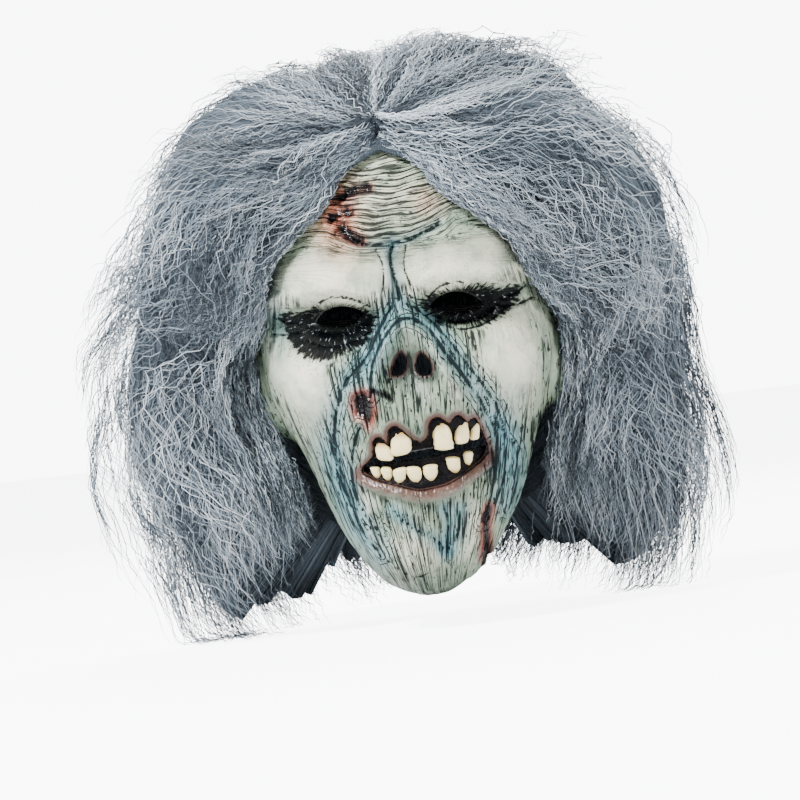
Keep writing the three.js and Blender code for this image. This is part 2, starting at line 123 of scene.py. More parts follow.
def shader(name, **surface):
    """A new material and a small kit that adds nodes to it."""
    material = bpy.data.materials.new(name)
    material.use_nodes = True
    tree = material.node_tree
    bsdf = tree.nodes["Principled BSDF"]

    class Kit:
        def feed(self, target, sockets):
            for key, value in sockets.items():
                if isinstance(value, bpy.types.NodeSocket):
                    tree.links.new(value, target.inputs[key])
                elif value is not None:
                    value = tuple(value) if hasattr(value, "__len__") else value
                    if hasattr(value, "__len__") and len(value) == 3 and target.inputs[key].type == "RGBA":
                        value = (*value, 1.0)
                    target.inputs[key].default_value = value

        def node(self, kind, sockets, out=0, **settings):
            made = tree.nodes.new("ShaderNode" + kind)
            for key, value in settings.items():
                setattr(made, key, value)
            self.feed(made, sockets)
            return made.outputs[out]

        def attribute(self, attribute_name, out="Color"):
            return self.node("Attribute", {}, out, attribute_name=attribute_name)

        def noise(self, vector, scale, detail=3.0, rough=0.55):
            return self.node("TexNoise", {"Vector": vector, "Scale": scale, "Detail": detail,
                                          "Roughness": rough})

        def math(self, operation, a, b=None, c=None):
            return self.node("Math", {0: a, 1: b, 2: c}, operation=operation)

        def step(self, value, low, high):
            return self.node("MapRange", {"Value": value, "From Min": low, "From Max": high},
                             interpolation_type="SMOOTHSTEP")

        def mix(self, factor, a, b, blend="MIX"):
            return self.node("Mix", {0: factor, 6: a, 7: b}, 2, data_type="RGBA", blend_type=blend)

        def stretch(self, vector, scale):
            return self.node("Mapping", {"Vector": vector, "Scale": scale})

        def bump(self, height, distance, strength=1.0):
            return self.node("Bump", {"Height": height, "Distance": distance, "Strength": strength})

        def surface(self, **sockets):
            self.feed(bsdf, {key.replace("_", " "): value for key, value in sockets.items()})

    kit = Kit()
    kit.surface(**surface)
    kit.place = kit.node("TexCoord", {}, "Object")
    return material, kit


floor_paint, kit = shader("floor_paint", Base_Color=(0.86, 0.87, 0.88), Roughness=0.75)
kit.surface(Base_Color=kit.mix(kit.noise(kit.place, 3.0), (0.85, 0.86, 0.87), (0.88, 0.89, 0.9)),
            Emission_Color=(0.97, 0.98, 1.0), Emission_Strength=kit.math("MULTIPLY",
                kit.node("LightPath", {}), FLOOR_SEEN))
floor_mesh.materials.append(floor_paint)

# ---------------------------------------------------------------- shape of the latex skin
# The head is a rounded section about one centre, set by radii against elevation, with sculpted forms
# added along the radius. These are the same tables as the solid model's, so the skin lies on it.
CENTRE = np.array([0.0, 10.0, -20.0])
FRONT_PROFILE = [(-90, 140), (-68, 146), (-59.7, 151), (-50, 143.5), (-41, 131), (-30.5, 119), (-21, 112.5),
                 (-8, 105), (8.5, 101.5), (21, 109), (43, 123), (63, 132), (90, 138)]
SIDE_PROFILE = [(-90, 118), (-59, 100.5), (-48, 90), (-38, 83.5), (-22, 80.5), (-3.5, 81), (13.5, 85),
                (37, 99), (54, 116), (71, 131), (90, 138)]
REAR_PROFILE = [(-90, 112), (-40, 90), (0, 92), (40, 112), (65, 130), (90, 138)]
SKIN_REACH = [(-90, 70), (-60, 76), (-30, 97), (0, 102.5), (30, 100), (65, 107), (90, 112)]
# x, z, half-width, half-height, turn in degrees, height
FORMS = [
    (-30, 17, 21, 7.5, -7, 9), (30, 17, 21, 7.5, 7, 9), (0, 9, 4, 12, 0, -3.5),
    (-33, -4, 17, 9, -4, -11), (33, -4, 17, 9, 4, -11), (-52, -33, 15, 15, 0, 6), (52, -33, 15, 15, 0, 6),
    (1, -12, 7, 9, 0, 6), (-12, -30, 5, 18, -22, 6), (15, -30, 5, 18, 22, 6), (2.5, -33, 8, 10, 0, -5),
    (3, -60, 26, 14, 0, 5), (4, -105, 26, 7, 2, 5), (-10, -131, 15, 13, 0, 7), (19, -127, 6, 14, 8, 4),
    (8, -124, 4, 15, 0, -4), (-47, -72, 11, 22, 8, -6), (49, -70, 11, 22, -8, -6),
]


def smooth(value, low, high):
    t = np.clip((value - low) / (high - low), 0, 1)
    return t * t * (3 - 2 * t)


def through(table, at):
    """A smooth curve through rows of (place, value), read at many places."""
    x, y = np.array(table, float).T
    slope = np.gradient(y, x, edge_order=1)
    slope[1:-1] = (y[2:] - y[:-2]) / (x[2:] - x[:-2])
    at = np.clip(at, x[0], x[-1])
    i = np.clip(np.searchsorted(x, at) - 1, 0, len(x) - 2)
    h = x[i + 1] - x[i]
    t = (at - x[i]) / h
    return ((2 * t**3 - 3 * t**2 + 1) * y[i] + (t**3 - 2 * t**2 + t) * h * slope[i]
            + (3 * t**2 - 2 * t**3) * y[i + 1] + (t**3 - t**2) * h * slope[i + 1])


def rounded(d, front, side, rear, power):
    """Radius of a section between a front or rear profile and a side profile, along unit directions d."""
    rise = np.degrees(np.arcsin(np.clip(d[:, 2], -1, 1)))
    flat = np.maximum(np.hypot(d[:, 0], d[:, 1]), 1e-9)
    ahead, across = -d[:, 1] / flat, np.abs(d[:, 0]) / flat
    long = np.where(ahead > 0, through(front, rise), through(rear, rise))
    n = 2 + (power - 2) * flat**2
    return ((np.abs(ahead) / long) ** n + (across / through(side, rise)) ** n) ** (-1 / n)


def blob(x, z, cx, cz, wide, high, turn=0.0):
    """A soft hill, 1 at its middle, turned in degrees."""
    c, s = math.cos(math.radians(turn)), math.sin(math.radians(turn))
    u, v = ((x - cx) * c + (z - cz) * s) / wide, (-(x - cx) * s + (z - cz) * c) / high
    return np.exp(-0.5 * (u * u + v * v))


def skin_radius(d):
    base = rounded(d, FRONT_PROFILE, SIDE_PROFILE, REAR_PROFILE, 2.3)
    p = CENTRE + base[:, None] * d
    facing = smooth(-d[:, 1], 0.05, 0.5)
    radius = base + facing * sum(f[5] * blob(p[:, 0], p[:, 2], *f[:5]) for f in FORMS)
    backward = np.clip((p[:, 1] + 14) / 34, 0, 1)
    return radius + 9 * backward**1.5 * np.exp(-(((p[:, 2] + 28) / 34) ** 4))


def curve(points, closed=False, steps=8):
    """A smooth polyline through points."""
    p = np.array(points, float)
    p = np.vstack([p[-1:], p, p[:2]]) if closed else np.vstack([2 * p[0] - p[1], p, 2 * p[-1] - p[-2]])
    t = (np.arange(steps) / steps)[:, None]
    parts = [0.5 * (2 * b + (c - a) * t + (2 * a - 5 * b + 4 * c - d) * t**2 + (3 * b - 3 * c + d - a) * t**3)
             for a, b, c, d in zip(p[:-3], p[1:-2], p[2:-1], p[3:])]
    return np.vstack(parts + ([] if closed else [p[-2:-1]]))


def distance(x, z, line, closed=False):
    """Distance from many points to a polyline, and the nearest point on it."""
    a = line if closed else line[:-1]
    b = np.roll(line, -1, 0) if closed else line[1:]
    best, near = np.full(len(x), 1e9), np.zeros((len(x), 2))
    for (ax, az), (bx, bz) in zip(a, b):
        ex, ez = bx - ax, bz - az
        t = np.clip(((x - ax) * ex + (z - az) * ez) / max(ex * ex + ez * ez, 1e-12), 0, 1)
        px, pz = ax + t * ex, az + t * ez
        gap = np.hypot(x - px, z - pz)
        closer = gap < best
        best = np.where(closer, gap, best)
        near[closer] = np.stack([px, pz], 1)[closer]
    return best, near


def outside(x, z, line):
    """Signed distance to a closed outline, negative inside it, and the nearest point on it."""
    gap, near = distance(x, z, line, True)
    inside = np.zeros(len(x), bool)
    for (ax, az), (bx, bz) in zip(line, np.roll(line, -1, 0)):
        if az != bz:
            inside ^= ((az > z) != (bz > z)) & (x < (bx - ax) * (z - az) / (bz - az) + ax)
    return np.where(inside, -gap, gap), near


# Openings and sculpted lines, as x, z points on the face.
MOUTH = curve([(-28.8, -84.5), (-21.9, -78.8), (-20.3, -70.9), (-17.4, -69.2), (-13, -73), (-11.5, -66.5),
               (-7.8, -64.3), (-2, -69.9), (0.9, -72.7), (5.6, -74.1), (9.4, -70.1), (10.8, -64.1),
               (15.3, -62.6), (20.4, -66.6), (22.9, -63.8), (25.9, -62.7), (29.7, -67.2), (31.7, -65.5),
               (33.7, -65.8), (35.7, -72.2), (37.1, -77.2), (38.1, -82.3), (35.2, -86), (29, -90.1),
               (21.9, -94.1), (14.2, -97.3), (5.1, -98.2), (-2.2, -97.7), (-10.8, -94.5), (-18.6, -91.5),
               (-25.5, -88.2)], True, 3)
EYE_RIGHT = curve([(-45, -3.5), (-40, 2), (-32, 3.8), (-24, 2), (-18.2, -1.5), (-22, -5), (-30, -7),
                   (-39, -6.6)], True, 6)
EYE_LEFT = curve([(17.6, -3), (23, 2), (32, 4.2), (40, 1.5), (45, -4.2), (39, -7), (31, -7.6), (23, -6)],
                 True, 6)
NOSTRIL_RIGHT = curve([(-6.8, -36.1), (-4.2, -29.5), (-0.6, -25.4), (1.4, -30), (0.2, -35), (-2.5, -37)],
                      True, 5)
NOSTRIL_LEFT = curve([(6.8, -31.3), (9.4, -27.2), (12.6, -29.2), (14.9, -33.4), (14, -38.5), (9.5, -39),
                      (6.6, -36)], True, 5)
OPENINGS = [MOUTH, EYE_RIGHT, EYE_LEFT, NOSTRIL_RIGHT, NOSTRIL_LEFT]
NOSE_ARCH = curve([(-16, -40), (-11, -25), (-5, -16), (3, -13), (12, -18), (18, -28), (22, -41), (27, -52)])
# points, half-width and depth of each groove
GROOVES = [
    (curve([(-19, -47), (-16, -31), (-9, -18), (2, -8), (14, -13), (23, -29), (32, -44), (39, -59),
            (43, -76), (41, -91)]), 1.3, 1.5),
    (curve([(5, 0), (12, -5), (24, -20), (34, -37), (43, -53), (47, -67), (47, -82), (44, -99),
            (38, -111)]), 1.2, 1.2),
    (curve([(-3, -1), (-12, -14), (-20, -27), (-32, -38), (-38, -51), (-42, -65), (-43, -81), (-39, -99),
            (-33, -118), (-25, -131)]), 1.5, 1.5),
    (curve([(-27, -62), (-32, -72), (-35, -86), (-34, -100), (-29, -111), (-21, -121)]), 1.3, 1.7),
    (curve([(40, -78), (40, -95), (36, -108), (30, -120)]), 1.3, 1.5),
    (curve([(44, -68), (52, -84), (51, -100), (44, -116)]), 1.1, 1.0),
    (curve([(-16, -107), (-6, -118), (4, -125), (10, -133)]), 1.2, 1.5),
    (curve([(12, -110), (13, -118), (10, -132)]), 1.1, 1.3),
    (curve([(20, -112), (17, -124), (11, -132)]), 1.1, 1.3),
    (curve([(-22, -134), (-9, -144), (7, -142)]), 1.2, 1.0),
    (curve([(-28, 41), (-14, 34), (0, 32), (13, 34), (28, 40)]), 1.5, 2.4),
    (curve([(2, 32), (0, 24), (1, 13), (2, 3)]), 1.3, 1.8),
    (curve([(-7, 30), (-4, 20), (-6, 8)]), 0.9, 0.9),
    (curve([(9, 30), (7, 20), (9, 9)]), 0.9, 0.9),
    (curve([(-50, -6), (-40, -11.5), (-27, -12), (-16, -8)]), 1.0, 1.3),
    (curve([(-52, -12), (-40, -17.5), (-26, -17), (-15, -12)]), 1.0, 1.0),
    (curve([(16, -6), (26, -12), (40, -12.5), (53, -6)]), 1.0, 1.5),
    (curve([(20, -11), (32, -17), (46, -15), (57, -8)]), 1.0, 1.0),
    (curve([(-47, 3), (-36, 8), (-24, 6.5), (-14, 1)]), 1.0, 1.2),
    (curve([(17, 2), (26, 7.5), (40, 7.5), (51, 1)]), 1.0, 1.2),
    (curve([(54, -3), (62, -1), (69, 3)]), 0.9, 1.0), (curve([(54, -7), (63, -7), (71, -4)]), 0.9, 1.0),
    (curve([(-54, -3), (-62, -1), (-69, 3)]), 0.9, 1.0), (curve([(-55, -8), (-63, -8), (-71, -6)]), 0.9, 1.0),
]
WOUND = curve([(-29, -45), (-22, -43), (-18, -47), (-18, -56), (-22, -63), (-25, -58), (-29, -55)], True, 5)
SLOT = curve([(-17, -44), (-12, -46), (-8, -50)])
GASH = curve([(35, -113), (32, -122), (31, -130), (29, -139)])
PITS = [curve([(-25, 60), (-17, 63), (-8, 64)]), curve([(-29, 50), (-24, 53), (-19, 52)]),
        curve([(-24, 45), (-20, 40), (-15, 36)])]
BLACK_RIGHT = curve([(-64, 3), (-51, 3.5), (-33, 4), (-14, -1), (-12, -9), (-19, -19), (-35, -24),
                     (-49, -23), (-60, -13)], True, 5)
BLACK_LEFT = curve([(12, -2), (20, 3.5), (38, 5.5), (55, 4), (66, 2), (60, -9), (50, -15), (35, -16),
                    (20, -9)], True, 5)
BROWS = [curve([(-68, 9), (-52, 10), (-34, 10), (-19, 6), (-8, 2)]),
         curve([(9, 4), (20, 9), (38, 11.5), (56, 10.5), (68, 10)])]


def forehead_lines(x, z):
    """A field that steps by one from each forehead wrinkle to the next, and where those wrinkles are."""
    sag = 0.011 * np.minimum(np.abs(x - 2), 34) ** 2 * (1 - 0.85 * smooth(z, 38, 68))
    field = 0.29 * (z - sag) + 0.22 * np.sin(0.13 * x + 0.11 * z) + 0.16 * np.sin(0.29 * x - 0.2 * z)
    return field, smooth(z - sag, 30, 38) * smooth(-z, -76, -66) * smooth(-np.abs(x - 4), -44, -24)


def sculpture(x, z):
    """Height of the fine sculpture over the smooth forms, in millimetres, at x, z on the face."""
    height = np.zeros(len(x))
    field, there = forehead_lines(x, z)
    height += there * (0.6 - 1.9 * np.exp(-(((field % 1.0 - 0.5) * 3.4 / 0.9) ** 2)))
    for line in BROWS:
        gap = distance(x, z, line)[0]
        height += 4.6 * np.exp(-((gap / 5.2) ** 2))
    height -= 3.6 * (blob(x, z, -33, -4, 17, 8) + blob(x, z, 33, -3, 17, 8)) + 3.0 * blob(x, z, 4, -34,
        12, 12)
    height += 2.0 * (blob(x, z, -50, -32, 12, 14, 20) + blob(x, z, 53, -30, 12, 14, -20))
    for line, wide, deep in GROOVES:
        gap = distance(x, z, line)[0]
        height += -deep * np.exp(-((gap / wide) ** 2)) + 0.35 * deep * np.exp(-(((gap
            - 2.4 * wide) / (1.3 * wide)) ** 2))
    gap = distance(x, z, NOSE_ARCH)[0]
    height += 2.8 * np.exp(-((gap / 2.8) ** 2))
    lip = outside(x, z, MOUTH)[0]
    below = smooth(-z, 82, 92)
    rolled = np.exp(-(((lip - 2.6 - 1.2 * below) / 2.4) ** 2))
    height += (0.9 + 2.4 * below) * rolled - 1.2 * np.exp(-((lip / 1.3) ** 2))
    height -= 1.6 * below * np.exp(-(((lip - 9) / 2.6) ** 2))
    for eye in (EYE_RIGHT, EYE_LEFT):
        lid = outside(x, z, eye)[0]
        height += 1.9 * np.exp(-(((lid - 1.6) / 1.3) ** 2)) - 1.0 * np.exp(-(((lid - 4.3) / 1.3) ** 2))
    for nostril in (NOSTRIL_RIGHT, NOSTRIL_LEFT):
        height += 1.3 * np.exp(-(((outside(x, z, nostril)[0] - 1.3) / 1.2) ** 2))
    wound = outside(x, z, WOUND)[0]
    height += -2.6 * smooth(-wound, -0.4, 2.2) + 1.0 * np.exp(-(((wound - 1.2) / 1.2) ** 2))
    for line, wide, deep in ((SLOT, 1.6, 2.4), (GASH, 2.2, 2.6), *((pit, 2.4, 3.4) for pit in PITS)):
        gap = distance(x, z, line)[0]
        height += -deep * np.exp(-((gap / wide) ** 4)) + 0.9 * np.exp(-(((gap - 1.7 * wide) / 1.1) ** 2))
    wave = np.sin(x * 0.31 + 1.3 * np.sin(z * 0.17)) * np.sin(z * 0.27 + 1.1 * np.sin(x * 0.19 + 1.0))
    ripple = np.sin(x * 0.9 + 2 * np.sin(z * 0.35)) * np.sin(z * 0.8 + 2 * np.sin(x * 0.3))
    return height + 0.35 * wave + 0.14 * ripple


def skin_point(d, sculpted=True, depth=0.0):
    """Points on the skin's outer surface along d, or that far below it, in millimetres."""
    radius = skin_radius(d)
    if sculpted:
        p = CENTRE + radius[:, None] * d
        ear = np.hypot((p[:, 1] - 4) / 15, (p[:, 2] + 32) / 28)
        radius = radius + smooth(-d[:, 1], 0.0, 0.3) * sculpture(p[:, 0],
                                                                 p[:, 2]) + smooth(np.abs(p[:, 0]), 62,
                                                                     74) * (
            7.0 * np.exp(-(((ear - 0.85) / 0.24) ** 2)) + 2.5 * np.exp(-(((ear - 0.3) / 0.14) ** 2)))
    return CENTRE + (radius - depth)[:, None] * d


def on_face(x, z, depth=0.0, sculpted=False):
    """Directions and points of the face's surface at given x, z."""
    p = np.stack([x, np.full(len(x), -95.0), z], 1)
    for _ in range(5):
        p[:, 0], p[:, 2] = x, z
        d = (p - CENTRE) / np.linalg.norm(p - CENTRE, axis=1)[:, None]
        p = skin_point(d, sculpted, depth)
    return d, p


def solid(name, vertices, faces, body, slot, *nodes, materials=()):
    """A closed mesh in the frame from millimetre vertices, in place of CAD nodes, riding on the body named by
    a string and left in place for any other body.
    """
    mesh = bpy.data.meshes.new(name)
    faces = [np.asarray(f, np.int32) for f in (faces if isinstance(faces, list) else [faces])]
    corners = np.concatenate([f.ravel() for f in faces])
    sizes = np.concatenate([np.full(len(f), f.shape[1]) for f in faces])
    mesh.vertices.add(len(vertices))
    mesh.vertices.foreach_set("co", (np.asarray(vertices) * 0.001).astype(np.float32).ravel())
    mesh.loops.add(len(corners))
    mesh.loops.foreach_set("vertex_index", corners)
    mesh.polygons.add(len(sizes))
    mesh.polygons.foreach_set("loop_start", (np.cumsum(sizes) - sizes).astype(np.int32))
    mesh.polygons.foreach_set("use_smooth", np.ones(len(sizes), bool))
    mesh.update(calc_edges=True)
    for material in materials:
        mesh.materials.append(material)
    made = bpy.data.objects.new(name, mesh)
    bpy.context.scene.collection.objects.link(made)
    if isinstance(body, str):
        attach(made, body)
    else:
        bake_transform(made)
    if nodes:
        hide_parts(*nodes)
    return made


def paint_points(made, name, values, kind="FLOAT_COLOR"):
    """Stores one value for each vertex: a colour, a vector or a number."""
    values = np.asarray(values, np.float32)
    if kind == "FLOAT_COLOR":
        values = np.hstack([values, np.ones((len(values), 1), np.float32)])
    layer = made.data.attributes.new(name, kind, "POINT")
    layer.data.foreach_set({"FLOAT_COLOR": "color", "FLOAT_VECTOR": "vector", "FLOAT": "value"}[kind],
                           values.ravel())


def grid_faces(columns, rows):
    """Quads of a grid of columns by rows points, numbered along the rows, facing out of the page."""
    i, j = np.meshgrid(np.arange(columns - 1), np.arange(rows - 1))
    first = (j * columns + i).ravel()
    return np.stack([first, first + 1, first + columns + 1, first + columns], 1)


def shell(outer, inner, faces):
    """Closes two matching surfaces round every free edge of their faces. Returns vertices and faces."""
    count = len(outer)
    start, end = faces.ravel(), np.roll(faces, -1, 1).ravel()
    free = ~np.isin(start * count + end, end * count + start)
    a, b = start[free], end[free]
    every = np.vstack([faces, faces[:, ::-1] + count, np.stack([b, a, a + count, b + count], 1)])
    used, compact = np.unique(every, return_inverse=True)
    return np.vstack([outer, inner])[used], compact.reshape(every.shape), used


# ---------------------------------------------------------------- latex skin
# One continuous thin skin from the brow to the chin, so that the mouth can open without a seam. Its
# grid is finest on the face. Cells inside an opening are left out and the edges drawn to its outline.
CELLS = 220
line = np.linspace(-1, 1, CELLS + 1)
line = line * (0.46 + 0.54 * line**2)
a, b = [g.ravel() for g in np.meshgrid(line, line)]
disc_x, disc_z = a * np.sqrt(1 - b * b / 2), b * np.sqrt(1 - a * a / 2)
angle = np.hypot(disc_x, disc_z) * np.radians(through(SKIN_REACH,
                                                      np.degrees(np.arctan2(disc_z, np.abs(disc_x)))))
spin = np.arctan2(disc_z, disc_x)
aims = np.stack([np.sin(angle) * np.cos(spin), -np.cos(angle), np.sin(angle) * np.sin(spin)], 1)
skin = skin_point(aims)
faces = grid_faces(CELLS + 1, CELLS + 1)
middle = skin[faces].mean(1)
keep = np.ones(len(faces), bool)
for outline in OPENINGS:
    keep &= ~((outside(middle[:, 0], middle[:, 2], outline)[0] < 0) & (middle[:, 1] < -40))
faces = faces[keep]
start, end = faces.ravel(), np.roll(faces, -1, 1).ravel()
count = len(skin)
edge = np.unique(start[~np.isin(start * count + end, end * count + start)])
inside_grid = (np.abs(a[edge]) < 0.999) & (np.abs(b[edge]) < 0.999)
edge = edge[inside_grid]
gaps = [outside(skin[edge, 0], skin[edge, 2], outline) for outline in OPENINGS]
nearest = np.argmin(np.abs([g[0] for g in gaps]), 0)
goal = np.stack([g[1] for g in gaps])[nearest, np.arange(len(edge))]
aims[edge], skin[edge] = on_face(goal[:, 0], goal[:, 1], 0.0, True)
reach = np.minimum(np.linalg.norm(skin - CENTRE, axis=1) - 1.3, skin_radius(aims) - 2.6)
lining = CENTRE + reach[:, None] * aims
vertices, faces, used = shell(skin, lining, faces)
inner_side = used >= count
x, y, z = vertices.T
front = smooth(-y, -5, 25)

PALE, CREAM, MOSS = linear(152, 164, 142), linear(243, 238, 216), linear(106, 124, 108)
BLUE, INK, RAW = linear(80, 140, 160), linear(9, 12, 17), linear(196, 186, 158)
RED, DEEP_RED, ORANGE, LIP = linear(142, 44, 34), linear(60, 16, 14), linear(196, 112, 70), linear(72, 14, 13)
paint = np.tile(PALE, (len(x), 1))


def lay(colour, amount):
    """Airbrushes a colour over the paint."""
    amount = np.clip(amount, 0, 1)[:, None]
    paint[:] = paint * (1 - amount) + np.asarray(colour) * amount


# Painted shade: the skin is laid darker towards the sides of the face and under the chin.
lay(MOSS, 0.55 * smooth(np.abs(x), 54, 80) + 0.35 * smooth(-z, 125, 150))
# Painted highlight: cream laid on the raised brows, cheekbones, chin lobes, a ridge beside the mouth and the
# upper forehead.
lay(CREAM, 0.95 * (blob(x, z, -33, 18, 22, 8, -6) + blob(x, z, 35, 17, 22, 8, 6)))
lay(CREAM, 0.95 * (blob(x, z, -53, -38, 10, 20, 18) + blob(x, z, 56, -36, 10, 20, -18)))
lay(CREAM, 0.7 * (blob(x, z, -8, -131, 12, 9) + blob(x, z, 25, -124, 6, 10)
                  + blob(x, z, -31, -97, 2.5, 16, 8)))
lay(CREAM, 0.55 * blob(x, z, 2, 62, 22, 12))
# Greenish paint over the muzzle, and painted shade in the hollow round the nostrils.
lay(MOSS, 0.3 * blob(x, z, 4, -50, 26, 14) + 0.35 * blob(x, z, 4, -34, 12, 12))
# Painted shade: darker patches in the cheek hollows, between and beside the brows, at the temples, beside the
# nose, above and below the lips, in the chin crease and under the chin.
for cx, cz, wide, high, turn, strength in (
    (-47, -72, 9, 22, 8, 0.5), (49, -70, 9, 22, -8, 0.5), (1, 17, 5, 13, 0, 0.45), (-68, 12, 7, 15, 10, 0.5),
    (68, 12, 7, 15, -10, 0.5), (4, -109, 24, 4, 2, 0.55), (9, -124, 3, 12, 0, 0.4), (-21, -22, 4, 15, -30,
        0.4),
    (25, -22, 4, 15, 30, 0.4), (4, -57, 24, 9, 0, 0.35), (0, -148, 34, 8, 0, 0.45),
):
    lay(MOSS * 0.7, strength * blob(x, z, cx, cz, wide, high, turn) * front)
# Painted shade in the hollows of the sculpture, and painted highlight on its raised parts.
relief = sculpture(x, z) * front
lay(MOSS * 0.4, 0.85 * smooth(-relief, 0.3, 3.5))
lay(CREAM, 0.5 * smooth(relief, 0.8, 3.5))
for line, wide, strength in (
    (GROOVES[0][0], 4.0, 0.45), (GROOVES[1][0], 3.5, 0.4), (GROOVES[2][0], 6.0, 0.62), (GROOVES[3][0],
        2.0, 0.3),
    (GROOVES[6][0], 3.0, 0.6), (GROOVES[7][0], 2.5, 0.55), (GROOVES[8][0], 3.5, 0.65), (GROOVES[11][0],
        3.0, 0.45),
    (GROOVES[10][0], 2.5, 0.35), (GROOVES[5][0], 4.0, 0.4),
):
    lay(BLUE, 0.88 * strength * np.exp(-((distance(x, z, line)[0] / (1.4 * wide)) ** 2)))
lay(BLUE, 0.35 * (blob(x, z, -44, -95, 6, 26, 12) + blob(x, z, 50, -90, 5, 22, -8)
                  + blob(x, z, -66, 0, 5, 16)))
crease = np.min([distance(x, z, line)[0] / (wide * math.sqrt(deep)) for line, wide, deep in GROOVES], 0)
black_gap = np.minimum(outside(x, z, BLACK_RIGHT)[0], outside(x, z, BLACK_LEFT)[0])
black = np.maximum(smooth(-outside(x, z, BLACK_RIGHT)[0], -3.5, 2.5),
                   smooth(-outside(x, z, BLACK_LEFT)[0], -3.0, 2.5)) * front
lay(INK, 0.5 * black)
lip = outside(x, z, MOUTH)[0]
below = smooth(-z, 80, 90)
lips = smooth(-lip, -(5.5 + 3.2 * below), -(2.0 + 2.5 * below)) * front
lay(LIP, 0.9 * lips)
nostril = np.minimum(outside(x, z, NOSTRIL_RIGHT)[0], outside(x, z, NOSTRIL_LEFT)[0])
# Painted shade: dark round the nostrils, in the hollow of the nose.
lay(INK, 0.6 * smooth(-nostril, -5.0, -1.5) * front)
lay(DEEP_RED, 0.85 * smooth(-nostril, -2.4, -0.4) * front)
wound = outside(x, z, WOUND)[0]
gash, slot_gap = distance(x, z, GASH)[0], distance(x, z, SLOT)[0]
pit = np.min([distance(x, z, line)[0] for line in PITS], 0)
lay(RED, 0.75 * smooth(-wound, -4.5, 0.5) + 0.8 * smooth(-gash, -5.5, -2.0))
lay(ORANGE, 0.85 * blob(x, z, -26, 51, 9, 17) * front + 0.35 * blob(x, z, 22, 53, 6, 6))
lay(RED, 0.6 * smooth(-pit, -6.0, -2.5))
lay(DEEP_RED * 0.4, 0.95 * (smooth(-wound, 0.2, 2.4) + smooth(-gash, -2.4, -0.8) + smooth(-pit, -3.0, -1.6)))
lay(INK * 0.3, 0.9 * smooth(-wound, 1.0, 2.6) + 0.95 * smooth(-pit, -3.4, -2.0)
    + 0.8 * smooth(-gash, -1.6, -0.4))
lay(INK * 0.5, 0.9 * (smooth(-slot_gap, -1.8, -0.8) + smooth(-pit, -2.0, -1.0)))
# Painted shade: a dark spot in the pit of the wearer's left ear.
lay(INK, 0.9 * blob(x, z, 83, -22, 1.8, 4.5, 20) * (y < 20))
paint[inner_side] = RAW
# Painted shade: the inner side is darkened round the mouth, nostrils and eyes.
near_hole = np.min([np.abs(lip), np.abs(nostril), np.abs(outside(x, z, EYE_RIGHT)[0]),
                    np.abs(outside(x, z, EYE_LEFT)[0])], 0)
paint[inner_side & (near_hole < 3.5) & (y < -40)] = INK * 0.4
wet = np.clip(0.9 * lips + smooth(-wound, -3, 0) + smooth(-gash, -4, -1) + smooth(-pit, -5, -2)
              + 0.5 * black, 0, 1)
# Ink is kept off the painted highlights and off the lips.
plain = np.clip(blob(x, z, -33, 18, 20, 8, -6) + blob(x, z, 35, 17, 20, 8, 6)
                + blob(x, z, -53, -36, 9, 18, 18)
                + blob(x, z, 56, -34, 9, 18, -18) + lips, 0, 1)
zone = 0.62 + 0.38 * smooth(-np.min([distance(x, z, GROOVES[n][0])[0] for n in (0, 1, 2, 3, 4, 5)], 0),
                            -14, -5)
zone = np.maximum(zone, blob(x, z, 4, -52, 28, 14))
wash = np.where(inner_side, 0, np.clip(zone - 0.9 * plain - black, 0, 1))
# The grain runs down the face from the bridge of the nose to the chin, and across the forehead.
breadth = through([(-160, 22), (-134, 40), (-108, 52), (-70, 62), (-30, 70), (0, 66), (30, 60), (90, 50)], z)
brow = smooth(z, 14, 34)
wrinkles, wrinkled = forehead_lines(x, z)
grain = (1 - brow) * 62 * x / breadth + brow * 5 * wrinkles
along = (1 - brow) * z + brow * x
flow = np.stack([grain, along, np.where(x > 0, 40.0, 0.0) * (1 - brow)], 1)
eye_x = np.where(x > 0, x - 33, x + 33)
ray = np.arctan2(z + 2, eye_x)
rays = np.stack([5 * np.cos(ray), 5 * np.sin(ray), 0.09 * np.hypot(eye_x, z + 2) + (x > 0) * 9.0], 1)

latex, kit = shader("painted_latex")
masks = kit.node("SeparateXYZ", {0: kit.attribute("masks", "Vector")}, 0).node
flow_at = kit.attribute("flow", "Vector")
blotch = kit.noise(kit.place, 45.0, 4.0)
mottle = kit.noise(kit.place, 85.0, 5.0, 0.65)
coarse = kit.noise(kit.stretch(flow_at, (0.30, 0.011, 1)), 1.0, 2.0)
fine = kit.noise(kit.stretch(flow_at, (0.80, 0.03, 1)), 1.0, 2.0)
breaks = kit.noise(kit.stretch(flow_at, (0.35, 0.07, 1)), 1.0, 2.0)
grain_lines = kit.math("SUBTRACT", 1.0,
                       kit.step(kit.math("ABSOLUTE", kit.math("SUBTRACT", coarse, 0.5)), 0.012, 0.034))
hair_lines = kit.math("SUBTRACT", 1.0,
                      kit.step(kit.math("ABSOLUTE", kit.math("SUBTRACT", fine, 0.53)), 0.014, 0.045))
grain_lines = kit.math("MULTIPLY", grain_lines, kit.step(breaks, 0.36, 0.46))
hair_lines = kit.math("MULTIPLY", hair_lines, kit.step(breaks, 0.5, 0.6))
pores = kit.step(kit.noise(kit.place, 420.0, 2.0), 0.66, 0.72)
flecks = kit.step(kit.noise(kit.stretch(flow_at, (0.6, 0.17, 1)), 1.0, 2.0), 0.62, 0.66)
pores = kit.math("MAXIMUM", kit.math("MULTIPLY", pores, 0.7), flecks)
ink = kit.math("MAXIMUM", kit.math("MAXIMUM", grain_lines, hair_lines), pores)
